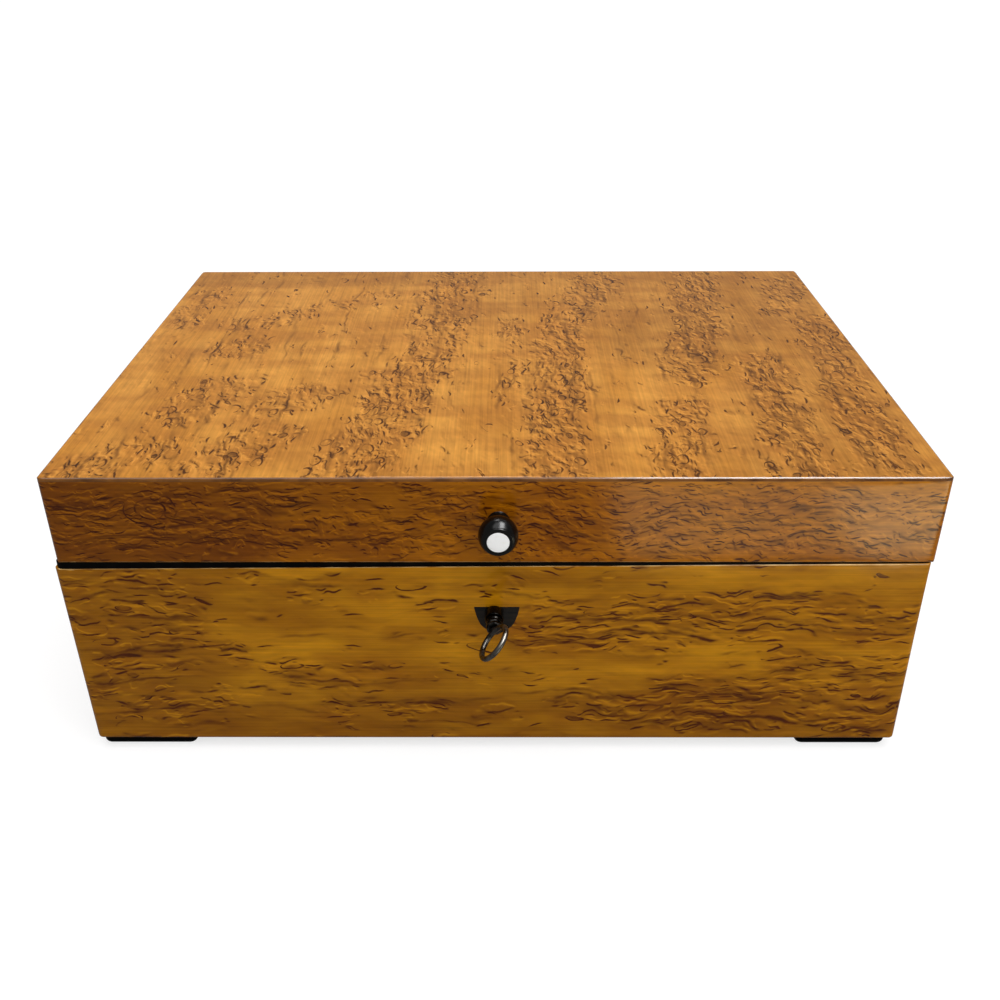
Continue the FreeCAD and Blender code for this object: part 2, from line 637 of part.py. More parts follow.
# Bolt spring: a leaf spring, riveted to the case's front plate at its foot, that rides on the bolt's bar
spring = body("bolt_spring_leaf")
SPRING_LOW = f"({BAR_HIGH} + spring_gap)"
SPRING_END = f"({post_low['left']} + post_width + spring_foot/2)"
spring_corners = [
    (f"{SPRING_END}", f"{SPRING_LOW} + spring_rise - spring_thickness"),
    (f"{SPRING_END} + spring_foot", f"{SPRING_LOW} + spring_rise - spring_thickness"),
    (f"{SPRING_END} + spring_length", SPRING_LOW),
    (f"{SPRING_END} + spring_length", f"{SPRING_LOW} + spring_thickness"),
    (f"{SPRING_END} + spring_foot", f"{SPRING_LOW} + spring_rise"),
    (f"{SPRING_END}", f"{SPRING_LOW} + spring_rise"),
]
pad(spring, outline(spring, "XZ_Plane", f"-{BOLT_DEPTH[1]}", spring_corners),
    f"{BOLT_DEPTH[1]} - ({LOCK_OUTER} + lock_plate)")
node("bolt_spring", spring)

# Link plate: let into the underside of the lid's front board, with two loops that drop into the lock
link_parts = [block("link_plate_strip", around("0", "link_plate_length"), around(BOLT_Y, "link_plate_width"),
                    (LID_LOW, f"{LID_LOW} + link_plate_thickness"))]
loop_eyes = []
for side, loop_x in LOOPS.items():
    link_parts.append(block(f"loop_{side}", around(loop_x, "loop_thickness"), around(BOLT_Y, "loop_width"),
                            (f"{LID_LOW} - loop_drop", f"{LID_LOW} + link_plate_thickness")))
    loop_eyes.append(block(f"loop_eye_{side}", around(loop_x, "loop_thickness + 2*overrun"),
                           around(BOLT_Y, "bolt_thickness + 2*loop_clearance"),
                           (f"{PRONG_LOW} - loop_clearance", f"{PRONG_HIGH} + loop_clearance")))
node("link_plate", cut("link_plate", fuse("link_plate_blank", *link_parts), *loop_eyes,
                       *screw_holes("link_plate", LINK_SCREWS, LID_LOW, False)))
slotted_screws("link_plate_screws", LINK_SCREWS, LID_LOW, False)

# Key: a bored shank with a bit, a collar with three turned rings, and a round bow
key = body("key")
place(key, "0", FRONT, KEY_Z)
key.Placement.Rotation = FreeCAD.Rotation(FreeCAD.Vector(0, 1, 0), -1)
key.setExpression("Placement.Rotation.Angle", bound("-key_rest_angle"))
KEY_END = f"({WALL} - lock_plate - key_end_gap)"
BORE_END = f"({KEY_END} - drill_pin_length - key_end_gap)"
BORE = "(drill_pin_radius + key_bore_clearance)"
COLLAR_END = "(collar_start + collar_length)"
key_profile = [
    (BORE, KEY_END),
    ("key_radius", KEY_END),
    ("key_radius", "-collar_start"),
    ("collar_radius", "-collar_start"),
    ("collar_radius", f"-{COLLAR_END}"),
    ("ring_root_radius", f"-{COLLAR_END}"),
]
for ring in range(int(sheet.get("ring_count"))):
    key_profile.append(("ring_radius", f"-{COLLAR_END} - ring_width*({ring} + ring_crest_share)"))
    key_profile.append(("ring_root_radius", f"-{COLLAR_END} - ring_width*({ring} + 1)"))
NECK_END = "(bow_distance - bow_radius)"
key_profile += [
    ("key_neck_radius", f"-{COLLAR_END} - ring_width*ring_count"),
    ("key_neck_radius", f"-{NECK_END}"),
    ("0", f"-{NECK_END}"),
    ("0", BORE_END),
    (BORE, BORE_END),
]
revolve(key, outline(key, "XY_Plane", "0", key_profile))
bit_corners = rectangle((f"(key_radius + {BORE})/2", "bit_reach"), (f"{KEY_END} - bit_length", KEY_END))
pad(key, outline(key, "XY_Plane", "-bit_thickness/2", bit_corners), "bit_thickness")
bow = key.newObject("PartDesign::AdditiveTorus", "key_bow")
bow.AttachmentSupport = [(origin_plane(key, "XY_Plane"), "")]
bow.MapMode = "FlatFace"
bow.setExpression("Radius1", bound("bow_radius"))
bow.setExpression("Radius2", bound("bow_wire"))
bow.setExpression("AttachmentOffset.Base.y", bound("-bow_distance"))
doc.recompute()
node("key", key)

doc.recompute()
broken = [thing.Label for thing in doc.Objects if {"Invalid", "Error"} & set(thing.State)]
broken += [label for label, thing in pieces.items() if thing.Shape.isNull() or not thing.Shape.isValid()]
if broken:
    raise RuntimeError("These did not build: " + ", ".join(broken))
os.makedirs("parts", exist_ok=True)
for label, thing in pieces.items():
    thing.Shape.exportStep(f"parts/{label}.step")
    print(f"{label}: {len(thing.Shape.Solids)} solid, {thing.Shape.Volume:.1f} mm3")
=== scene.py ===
import json
import math

import bmesh
import bpy
from mathutils import Matrix, Vector


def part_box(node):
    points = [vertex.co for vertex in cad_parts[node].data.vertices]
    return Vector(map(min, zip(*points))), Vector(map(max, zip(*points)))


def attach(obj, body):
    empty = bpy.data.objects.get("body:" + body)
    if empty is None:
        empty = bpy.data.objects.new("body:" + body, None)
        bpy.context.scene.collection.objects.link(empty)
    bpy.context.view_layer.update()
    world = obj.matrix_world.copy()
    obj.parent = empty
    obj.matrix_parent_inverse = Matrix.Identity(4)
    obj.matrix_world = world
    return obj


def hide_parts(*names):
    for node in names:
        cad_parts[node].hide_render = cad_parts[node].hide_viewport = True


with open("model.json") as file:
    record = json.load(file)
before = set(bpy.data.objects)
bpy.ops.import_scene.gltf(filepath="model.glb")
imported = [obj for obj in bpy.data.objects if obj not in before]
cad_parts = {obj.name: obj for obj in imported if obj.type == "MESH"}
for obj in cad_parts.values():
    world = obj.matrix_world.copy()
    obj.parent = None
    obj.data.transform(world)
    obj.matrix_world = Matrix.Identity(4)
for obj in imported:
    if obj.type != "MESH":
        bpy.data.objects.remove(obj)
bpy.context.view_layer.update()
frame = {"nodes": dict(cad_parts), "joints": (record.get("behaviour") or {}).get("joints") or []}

# Carcass: the ten boards of the base and the lid, of planed spruce, lapped and glued at the corners.
# They are bare inside the box, where the pale wood shows its growth lines.
MM = 0.001


def linear(code):
    """Turns an sRGB hex colour into the linear colour that a shader takes."""
    shares = [int(code[i:i + 2], 16) / 255 for i in (1, 3, 5)]
    return [c / 12.92 if c <= 0.04045 else ((c + 0.055) / 1.055) ** 2.4 for c in shares] + [1.0]


def add(tree, kind, inputs=None, output=0, **settings):
    """Adds a node with its settings, values and links, and returns one of its outputs."""
    node = tree.nodes.new("ShaderNode" + kind)
    for name, value in settings.items():
        setattr(node, name, value)
    for socket, value in (inputs or {}).items():
        if isinstance(value, bpy.types.NodeSocket):
            tree.links.new(value, node.inputs[socket])
        else:
            node.inputs[socket].default_value = value
    return node.outputs[output]


def calc(tree, operation, *values, clamped=False):
    """One step of arithmetic with numbers."""
    return add(tree, "Math", dict(enumerate(values)), operation=operation, use_clamp=clamped)


def vector(tree, operation, *values, output=0):
    """One step of arithmetic with vectors."""
    return add(tree, "VectorMath", dict(enumerate(values)), output, operation=operation)


def span(tree, value, low, high, start=0.0, end=1.0, smooth=False):
    """Spreads the values from low to high over the range from start to end, and holds the rest there."""
    kind = "SMOOTHSTEP" if smooth else "LINEAR"
    return add(tree, "MapRange", {0: value, 1: low, 2: high, 3: start, 4: end}, interpolation_type=kind)


def mixed(tree, share, first, second):
    """The first colour with a share of the second in it."""
    return add(tree, "Mix", {0: share, 6: first, 7: second}, 2, data_type="RGBA")


def new_finish(name, **constants):
    """A material with a Principled shader whose constant sockets are set by name."""
    material = bpy.data.materials.new(name)
    material.use_nodes = True
    shader = material.node_tree.nodes["Principled BSDF"]
    for socket, value in constants.items():
        shader.inputs[socket.replace("_", " ")].default_value = value
    return material, material.node_tree, shader


def feed(shader, **sources):
    """Links outputs of other nodes to the shader's sockets by name."""
    for socket, source in sources.items():
        shader.id_data.links.new(source, shader.inputs[socket.replace("_", " ")])


def dress(finish, *nodes):
    """Gives a finish to CAD nodes that keep their own solids."""
    for node in nodes:
        frame["nodes"][node].data.materials[0] = finish


def grain_space(tree, turn):
    """Object coordinates in millimetres, turned so that x runs along the grain and y across it."""
    place = add(tree, "TexCoord", output="Object")
    radians = [math.radians(angle) for angle in turn]
    return add(tree, "Mapping", {"Vector": place, "Rotation": radians, "Scale": [1 / MM] * 3})


def cloud(tree, space, along, across, detail=2.0, shift=0.0):
    """Soft noise whose patches measure so many millimetres along and across the grain."""
    scaled = vector(tree, "MULTIPLY_ADD", space, (1 / along, 1 / across, 1 / across), [shift] * 3)
    return add(tree, "TexNoise", {"Vector": scaled, "Scale": 1.0, "Detail": detail}, "Fac")


ALONG_X = (-90, 0, 0)
ALONG_Y_UPRIGHT = (-90, 90, 0)
ALONG_Y_FLAT = (0, 0, -90)


def planed_spruce(name, turn):
    """Spruce as the plane left it: pale yellow, matt, with growth lines about 2 mm apart."""
    material, tree, shader = new_finish(name, Roughness=0.62, Specular_IOR_Level=0.3)
    space = grain_space(tree, turn)
    lines = cloud(tree, space, 260, 2.2, 2.0)
    pores = cloud(tree, space, 14, 0.5, 1.0, 5.0)
    tone = cloud(tree, space, 190, 40, 1.0, 9.0)
    sharp = span(tree, lines, 0.42, 0.66, smooth=True)
    wood = mixed(tree, sharp, linear("#C9A56C"), linear("#A0763E"))
    aged = span(tree, tone, 0.35, 0.7, 0.0, 0.45)
    wood = mixed(tree, aged, wood, linear("#8C6534"))
    fine = span(tree, pores, 0.3, 0.7, 0.86, 1.06)
    wood = add(tree, "VectorMath", {0: wood, "Scale": fine}, operation="SCALE")
    dents = add(tree, "Bump", {"Strength": 0.25, "Distance": 0.08 * MM, "Height": lines})
    feed(shader, Base_Color=wood, Normal=dents)
    return material


spruce_across = planed_spruce("planed spruce, grain left to right", ALONG_X)
spruce_deep = planed_spruce("planed spruce, grain front to back", ALONG_Y_UPRIGHT)
dress(spruce_across, "base_bottom_board", "lid_top_board")
for unit in ("base", "lid"):
    dress(spruce_across, f"{unit}_front_board", f"{unit}_back_board")
    dress(spruce_deep, f"{unit}_left_board", f"{unit}_right_board")

# Base veneers: thick sheets of figured birch, glued over the boards and polished with shellac.
# The front and back sheets cover the edges of the side sheets; edges and corners are rubbed round.
# All in mm: the radii of lower corners, upright corners in front and at the back, and rubbed edges.
CORNER_ROUND = 2.3
UPRIGHT_ROUND = (2.8, 4.2)
RUBBED_EDGE = 0.7
BROKEN_EDGE = 0.05
RULING = 4.0
# How far the left and the right end lean, at the foot and at the brim, and where along x that starts; how
# far the front swells at its brim, and how the brim rises forwards and falls to the left.
LEANS = {
    "base": ((-0.8, -1.5), (0.6, -0.5)),
    "rim": ((-0.6, -0.6), (-0.6, -0.6)),
    "lid": ((-0.1, -0.1), (0.65, 0.65)),
}
LEAN_START = 120
LEAN_RUN = 45
BRIM_SWELL = 0.6
BRIM_RISE = 2.0
BRIM_FALL = 2.5
# The share of a band's half width that is at full strength, and the share over which it fades out.
BAND_CORE = 0.55
BAND_FADE = 0.8


def ripples(tree, space, size, levels, throw, shift):
    """Curls of the grain: the edges of a noise's terraces, above nought on one flank, below on the other."""
    aside = vector(tree, "ADD", space, (*throw, 0.0))
    fields, climbs = [], []
    for spot in (space, aside):
        field = cloud(tree, spot, *size, 1.0, shift)
        climb = calc(tree, "MULTIPLY", field, levels)
        stair = calc(tree, "FLOOR", climb)
        rest = calc(tree, "FRACT", climb)
        riser = span(tree, rest, 0.31, 0.69, smooth=True)
        fields.append(field)
        climbs.append(calc(tree, "ADD", stair, riser))
    edge = calc(tree, "SUBTRACT", climbs[0], climbs[1])
    fall = calc(tree, "SUBTRACT", fields[0], fields[1])
    return edge, fall


def scattered(tree, space, along, across, scatter, shift):
    """Scattered cells of so many millimetres: the way from each middle, and three chances of its own."""
    cells = vector(tree, "MULTIPLY_ADD", space, (1 / along, 1 / across, 0.0), [shift, shift, 0.0])
    middle = add(tree, "TexVoronoi", {"Vector": cells, "Scale": 1.0, "Randomness": scatter}, "Position",
                 voronoi_dimensions="2D")
    chance = add(tree, "SeparateColor", {0: middle.node.outputs["Color"]}).node.outputs
    return vector(tree, "SUBTRACT", cells, middle), chance


def hooked_flecks(tree, space, along, across, density, shift):
    """Short bent dashes, one in each scattered cell, kept where the density is high enough."""
    local, chance = scattered(tree, space, along, across, 0.85, shift)
    spot = add(tree, "SeparateXYZ", {0: local}).node.outputs
    square = calc(tree, "MULTIPLY", spot[0], spot[0])
    bend = span(tree, chance[0], 0.0, 1.0, -2.0, 2.0)
    lean = span(tree, chance[1], 0.0, 1.0, -0.6, 0.6)
    bowed = calc(tree, "MULTIPLY_ADD", square, bend, spot[1])
    bowed = calc(tree, "MULTIPLY_ADD", spot[0], lean, bowed)
    flat = add(tree, "CombineXYZ", {0: spot[0], 1: bowed})
    shape = vector(tree, "MULTIPLY", flat, (1 / 0.36, 1 / 0.13, 0.0))
    reach = vector(tree, "LENGTH", shape, output="Value")
    dash = span(tree, reach, 0.35, 1.0, 1.0, 0.0, smooth=True)
    bar = span(tree, density, 0.0, 1.0, 0.03, 0.5)
    kept = calc(tree, "LESS_THAN", chance[2], bar)
    return calc(tree, "MULTIPLY", dash, kept)


def grain_eyes(tree, space, along, across, share, density, shift):
    """Small eyes of the grain, in a share of the scattered cells: outlines that are thick on one flank."""
    local, chance = scattered(tree, space, along, across, 0.9, shift)
    reach = vector(tree, "LENGTH", local, output="Value")
    rim = span(tree, chance[0], 0.0, 1.0, 0.14, 0.44)
    gap = calc(tree, "SUBTRACT", reach, rim)
    flank = vector(tree, "DOT_PRODUCT", local, (0.6, -1.0, 0.0), output="Value")
    width = span(tree, flank, -0.3, 0.35, 0.015, 0.11)
    near = calc(tree, "ABSOLUTE", gap)
    near = calc(tree, "DIVIDE", near, width)
    line = span(tree, near, 0.3, 1.0, 1.0, 0.0, smooth=True)
    inside = span(tree, gap, -0.05, 0.0, 0.6, 0.0)
    filled = calc(tree, "LESS_THAN", chance[0], 0.3)
    inside = calc(tree, "MULTIPLY", inside, filled)
    eye = calc(tree, "MAXIMUM", line, inside)
    bar = span(tree, density, 0.12, 1.0, 0.0, share)
    kept = calc(tree, "LESS_THAN", chance[2], bar)
    return calc(tree, "MULTIPLY", eye, kept)


def grain_knot(tree, space, x, y, length, width):
    """One grown-over knot at a place in the grain: broken rings inside each other."""
    local = vector(tree, "ADD", space, (-x, -y, 0.0))
    local = vector(tree, "MULTIPLY", local, (1 / length, 1 / width, 0.0))
    reach = vector(tree, "LENGTH", local, output="Value")
    rings = calc(tree, "MULTIPLY", reach, 15.0)
    rings = calc(tree, "SINE", rings)
    line = span(tree, rings, 0.72, 0.98, smooth=True)
    ends = span(tree, reach, 1.0, 1.15, 1.0, 0.0)
    broken = span(tree, cloud(tree, space, 7, 5, 1.0, 41.0), 0.38, 0.5)
    line = calc(tree, "MULTIPLY", line, ends)
    return calc(tree, "MULTIPLY", line, broken)


def figured_birch(name, turn, curls, fleck, sheen, contrast, depth, hues, eyes=None, knot=None):
    """Figured birch under shellac: golden ground, brown curls and flecks that crowd together in bands."""
    material, tree, shader = new_finish(name, Specular_IOR_Level=0.15)
    light, deep, russet, umber, ink = [linear(hue) for hue in hues]
    space = grain_space(tree, turn)
    swayed = space
    for wave, throw in ((45, (4.0, 14.0, 0.0)), (12, (5.0, 3.6, 0.0)), (4, (1.6, 1.2, 0.0))):
        coarse = add(tree, "VectorMath", {0: space, "Scale": 1 / wave}, operation="SCALE")
        sway = add(tree, "TexNoise", {"Vector": coarse, "Scale": 1.0, "Detail": 1.0}, "Color")
        sway = vector(tree, "SUBTRACT", sway, (0.5, 0.5, 0.5))
        swayed = vector(tree, "MULTIPLY_ADD", sway, throw, swayed)

    # How much figure there is: the sheet's own bands, with ragged borders.
    bands = add(tree, "Attribute", output="Fac", attribute_name="figure")
    ragged = cloud(tree, space, 16, 7, 2.0, 3.0)
    ragged = span(tree, ragged, 0.3, 0.7, -0.3, 0.3)
    density = calc(tree, "ADD", bands, ragged, clamped=True)

    # The golden ground, with broad clouds, bands of sheen across the grain, and fine fibres.
    patch = span(tree, cloud(tree, space, 60, 18), 0.35, 0.65)
    wood = mixed(tree, patch, light, deep)
    banded = cloud(tree, space, 11, 40, 1.0, 7.0)
    banded = span(tree, banded, 0.38, 0.66, 0.0, sheen)
    wood = mixed(tree, banded, wood, russet)
    fibre = span(tree, cloud(tree, space, 45, 0.8), 0.3, 0.7, 0.87, 1.12)
    tint = calc(tree, "MULTIPLY", density, 0.55)
    wood = mixed(tree, tint, wood, russet)
    # Painted shade in part: the tone attribute darkens the ground towards umber, on the lid front's left and
    # the base front's left end.
    tone = add(tree, "Attribute", output="Fac", attribute_name="tone")
    wood = mixed(tree, tone, wood, umber)

    # The dark marks: long broken lines of the grain, flecks, eyes, and rings where a knot has grown over.
    lines = ripples(tree, swayed, (64, 8), 3.0, (0.3, 0.9), 57.0)[0]
    broken = span(tree, cloud(tree, space, 30, 14, 1.0, 17.0), 0.44, 0.54)
    crowded = span(tree, density, 0.0, 1.0, 0.5, 1.0)
    broken = calc(tree, "MULTIPLY", broken, crowded)
    dark = calc(tree, "MULTIPLY", lines, broken, clamped=True)
    flecks = hooked_flecks(tree, swayed, *fleck, density, 0.0)
    dark = calc(tree, "MAXIMUM", dark, flecks)
    if eyes:
        ringed = grain_eyes(tree, swayed, *eyes, density, 4.0)
        dark = calc(tree, "MAXIMUM", dark, ringed)
    if knot:
        rings = grain_knot(tree, swayed, *knot)
        dark = calc(tree, "MAXIMUM", dark, rings)

    # The curls: each size of them in pieces that thin out with the density, dark marks on one flank and a
    # painted highlight on the other, with painted shade and highlight as if light fell on them as on
    # ripples.
    pale = 0.0
    # Painted shade and highlight: the ground is scaled darker and lighter across each ripple of the curls.
    painted_relief_shading = fibre
    bar = span(tree, density, 0.0, 1.0, 0.72, 0.36)
    for index, (along, across, levels, lean, rise, piece) in enumerate(curls):
        edge, fall = ripples(tree, swayed, (along, across), levels, (lean, rise), 19.0 * index)
        pieces = cloud(tree, space, 1.6 * piece, piece, 1.0, 31.0 + 7.0 * index)
        over = calc(tree, "SUBTRACT", pieces, bar)
        shown = span(tree, over, -0.04, 0.05, smooth=True)
        line = calc(tree, "MULTIPLY", edge, shown)
        dark = calc(tree, "MAXIMUM", dark, line)
        pale = calc(tree, "MINIMUM", pale, line)
        shade = span(tree, density, 0.0, 1.0, -0.3 * depth, -1.2 * depth)
        painted_relief_shading = calc(tree, "MULTIPLY_ADD", fall, shade, painted_relief_shading)
    wood = add(tree, "VectorMath", {0: wood, "Scale": painted_relief_shading}, operation="SCALE")
    # Painted highlight: the pale flank of each curl is mixed towards a brighter glint colour.
    pale = calc(tree, "MULTIPLY", pale, -0.42 * depth, clamped=True)
    glint = [1.2 * share for share in light[:3]] + [1.0]
    wood = mixed(tree, pale, wood, glint)
    mottle = cloud(tree, space, 6, 5, 1.0, 23.0)
    brown = mixed(tree, mottle, umber, ink)
    fading = cloud(tree, space, 9, 6, 2.0, 37.0)
    fading = span(tree, fading, 0.36, 0.6, 0.5, 1.1)
    strength = calc(tree, "MULTIPLY", dark, contrast)
    strength = calc(tree, "MULTIPLY", strength, fading, clamped=True)
    wood = mixed(tree, strength, wood, brown)

    # Old polish: a little duller over the flecks, and never quite flat.
    dull = span(tree, dark, 0.0, 1.0, 0.15, 0.26)
    waves = cloud(tree, space, 30, 24, 1.0, 29.0)
    height = calc(tree, "MULTIPLY_ADD", dark, -0.25, waves)
    dents = add(tree, "Bump", {"Strength": 0.3, "Distance": 0.05 * MM, "Height": height})
    feed(shader, Base_Color=wood, Roughness=dull, Normal=dents)
    return material


def blotches(tree, size, detail):
    """Soft noise whose patches measure so many millimetres in every direction."""
    place = add(tree, "TexCoord", output="Object")
    return add(tree, "TexNoise", {"Vector": place, "Scale": 1 / (size * MM), "Detail": detail}, "Fac")


def worn_edge_with_painted_light(name, kept, bare, roughness, gloss):
    """An edge in blotches of worn wood, with a gloss of its own; its two colours also carry painted light.
    """
    material, tree, shader = new_finish(name, Roughness=roughness, Specular_IOR_Level=gloss)
    wear = blotches(tree, 9, 3.0)
    worn = span(tree, wear, 0.36, 0.6)
    wood = mixed(tree, worn, linear(kept), linear(bare))
    feed(shader, Base_Color=wood)
    return material


def baked(piece):
    """The finished mesh of an object with its modifiers; the object itself goes."""
    graph = bpy.context.evaluated_depsgraph_get()
    mesh = bpy.data.meshes.new_from_object(piece.evaluated_get(graph))
    bpy.data.objects.remove(piece)
    return mesh


def loose(name, mesh):
    """A mesh or curve as an object of its own in the scene."""
    piece = bpy.data.objects.new(name, mesh)
    bpy.context.scene.collection.objects.link(piece)
    return piece


def worked(piece, tool, operation):
    """The mesh of a piece after another has been cut out of it or joined to it; both objects go."""
    step = piece.modifiers.new("work", "BOOLEAN")
    step.object = tool
    step.operation = operation
    step.solver = "EXACT"
    mesh = baked(piece)
    bpy.data.objects.remove(tool)
    return mesh


def meshed(name, solid):
    """The mesh of a shape that was put together point by point."""
    mesh = bpy.data.meshes.new(name)
    solid.to_mesh(mesh)
    solid.free()
    return mesh


def eased_block(low, high, rounded, radius):
    """A block whose edges are rounded by so many mm where a test on the edge's side of the block holds."""
    solid = bmesh.new()
    bmesh.ops.create_cube(solid, size=2.0)
    weight = solid.edges.layers.float.new("bevel_weight_edge")
    for edge in solid.edges:
        side = (edge.verts[0].co + edge.verts[1].co) / 2
        edge[weight] = float(rounded(*side))
    for corner in solid.verts:
        corner.co = [a + (b - a) * (share + 1) / 2 for a, b, share in zip(low, high, corner.co)]
    piece = loose("block", meshed("block", solid))
    easing = piece.modifiers.new("easing", "BEVEL")
    easing.limit_method = "WEIGHT"
    easing.width = radius * MM
    easing.segments = 4
    easing.use_clamp_overlap = False
    return baked(piece)


def ruled(mesh, step, closer=()):
    """Rules a mesh into squares along its three directions, with closer lines at some places in metres."""
    sheet = bmesh.new()
    sheet.from_mesh(mesh)
    for axis in range(3):
        places = [corner.co[axis] for corner in sheet.verts]
        low, high = min(places), max(places)
        count = int((high - low) / (step * MM))
        lines = [low + (high - low) * line / count for line in range(1, count)]
        lines += [place for along, place in closer if along == axis and low < place < high]
        normal = [float(axis == other) for other in range(3)]
        for line in lines:
            point = [line * share for share in normal]
            everything = list(sheet.verts) + list(sheet.edges) + list(sheet.faces)
            bmesh.ops.bisect_plane(sheet, geom=everything, dist=1e-7, plane_co=point, plane_no=normal)
    sheet.to_mesh(mesh)
    sheet.free()


def even_shading(name, mesh):
    """Smooth shading that stays flat on the broad faces and turns only on the rounded edges."""
    for face in mesh.polygons:
        face.use_smooth = True
    mesh.set_sharp_from_angle(angle=math.radians(50))
    piece = loose(name, mesh)
    piece.modifiers.new("flat faces", "WEIGHTED_NORMAL").keep_sharp = True
    return baked(piece)


def lay_bands(mesh, name, across, up, bands, least):
    """Writes a value for each point of a sheet, from bands given in mm on two of its directions."""
    values = []
    for corner in mesh.vertices:
        spot = Vector((corner.co[across], corner.co[up])) / MM
        most = least
        for start_a, start_b, end_a, end_b, half, strength in bands:
            start, run = Vector((start_a, start_b)), Vector((end_a - start_a, end_b - start_b))
            share = min(max((spot - start).dot(run) / max(run.length_squared, 1e-9), 0.0), 1.0)
            gap = ((spot - start - run * share).length / half - BAND_CORE) / BAND_FADE
            fade = min(max(gap, 0.0), 1.0)
            most = max(most, strength * (1 - fade * fade * (3 - 2 * fade)))
        values.append(most)
    layer = mesh.attributes.new(name, "FLOAT", "POINT")
    layer.data.foreach_set("value", values)


def as_piece(name, mesh, materials, body, slot, *nodes):
    """A finished piece that stands for CAD nodes and moves with their body."""
    mesh.materials.clear()
    for material in materials:
        mesh.materials.append(material)
    piece = loose(name, mesh)
    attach(piece, body)
    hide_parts(*nodes)
    return piece


def base_brim(x, y):
    """How far the wood of the base stands above its mean edge: it sinks towards the front left corner."""
    forward = (outside.y - y) / (2 * outside.y)
    leftward = min(max((outside.x - x) / (2 * outside.x), 0.0), 1.0)
    return forward * (BRIM_RISE - BRIM_FALL * leftward) * MM


def outside_shape(spot, body):
    """Rounds a point off at corners and edges, and leans the ends as the box has gone askew with age."""
    x, y, z = spot
    for radius, level, way in ((UPRIGHT_ROUND[y > 0], 0.0, -1), *ROUNDED[body]):
        reach = radius * MM
        past = (abs(x) - outside.x, abs(y) - outside.y, way * (z - level))
        past = Vector([max(part + reach, 0.0) for part in past])
        if past.length > reach:
            drawn = past * (1 - reach / past.length)
            x = math.copysign(abs(x) - drawn.x, x)
            y = math.copysign(abs(y) - drawn.y, y)
            z -= way * drawn.z
    at_foot, at_brim = LEANS[body][x > 0]
    ends = min(max((abs(x) / MM - LEAN_START) / LEAN_RUN, 0.0), 1.0)
    rise = min(max((z - FOOT_LEVEL) / (BRIM_LEVEL - FOOT_LEVEL), 0.0), 1.0)
    swell = BRIM_SWELL * MM * rise * rise * max(x / outside.x, 0.0)
    if body == "base" and y < MM - outside.y:
        y -= swell
    return Vector((x + (at_foot + (at_brim - at_foot) * rise) * ends * MM, y, z))


def clean_copy(node):
    """A copy of a CAD node's mesh, with its cut-outs, as one skin without doubled points."""
    skin = bmesh.new()
    skin.from_mesh(frame["nodes"][node].data)
    bmesh.ops.remove_doubles(skin, verts=skin.verts, dist=0.01 * MM)
    return meshed(node, skin)


def veneer_sheet(node, body, materials, across, up, bands, tones_and_shade, least, mesh=None):
    """Makes one veneer: ruled, rounded to the shape of the box, and given its own bands of figure."""
    low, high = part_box(node)
    mesh = mesh or clean_copy(node)
    ruled(mesh, RULING, CORNER_LINES)
    at_end = high.x - low.x < 3 * MM
    for corner in mesh.vertices:
        inner = at_end and abs(corner.co.x) < outside.x - GLUED_FACE * MM
        top = body == "base" and corner.co.z > high.z - 2 * RUBBED_EDGE * MM
        lift = base_brim(corner.co.x, corner.co.y) if top else 0.0
        if not inner:
            corner.co = outside_shape(corner.co, body)
        corner.co.z += lift
    mesh = even_shading("sheet", mesh)
    lay_bands(mesh, "figure", across, up, bands, least)
    lay_bands(mesh, "tone", across, up, tones_and_shade, 0.0)
    piece = as_piece(f"{node}_sheet", mesh, materials, body, "burl_veneer", node)
    # The tilted faces by the seam take the worn edge finish with its painted highlight.
    for face in piece.data.polygons:
        tilted = 0.2 < abs(face.normal.z) < 0.95
        face.material_index = int(tilted and abs(face.center.z - SEAM) < SEAM_REACH)
    return piece


def prism(name, outline, front, back):
    """A flat outline, its x and z in metres, drawn through the wood from one depth to another."""
    solid = bmesh.new()
    face = solid.faces.new([solid.verts.new((x, front, z)) for x, z in outline])
    for corner in bmesh.ops.extrude_face_region(solid, geom=[face])["geom"]:
        if isinstance(corner, bmesh.types.BMVert):
            corner.co.y = back
    bmesh.ops.recalc_face_normals(solid, faces=solid.faces)
    return loose(name, meshed(name, solid))


# The shield-shaped place for the escutcheon, cut through the front veneer: its flank as shares of the
# half width and the depth.
SHIELD_FLANK = ((1.0, 0.0), (0.97, 0.14), (0.86, 0.42), (0.64, 0.76), (0.0, 1.0))
SHIELD_WIDER = 1.02
SHIELD_DEEPER = 1.1


def shield_prism(name, deepen=0.0):
    """The escutcheon's outline, its flanks swept along a spline, drawn through the veneer's thickness."""
    low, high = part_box("keyhole_escutcheon")
    middle, drop = (low.x + high.x) / 2, SHIELD_DEEPER * (high.z - low.z)
    reach = SHIELD_WIDER * (high.x - low.x) / 2
    curve = bpy.data.curves.new(name, "CURVE")
    curve.dimensions = "2D"
    for sign in (-1, 1):
        spline = curve.splines.new("NURBS")
        spline.points.add(len(SHIELD_FLANK) - 1)
        for point, (out, down) in zip(spline.points, SHIELD_FLANK):
            point.co = (sign * out * reach, -down * drop, 0.0, 1.0)
        spline.order_u = 3
        spline.use_endpoint_u = True
        spline.resolution_u = 6
    flank = baked(loose(name, curve))
    points = [corner.co.copy() for corner in flank.vertices]
    half = len(points) // 2
    rim = points[:half] + points[half:][::-1][1:]
    outline = [(middle + p.x, high.z + p.y) for p in rim]
    return prism(name, outline, low.y - deepen, high.y + deepen)


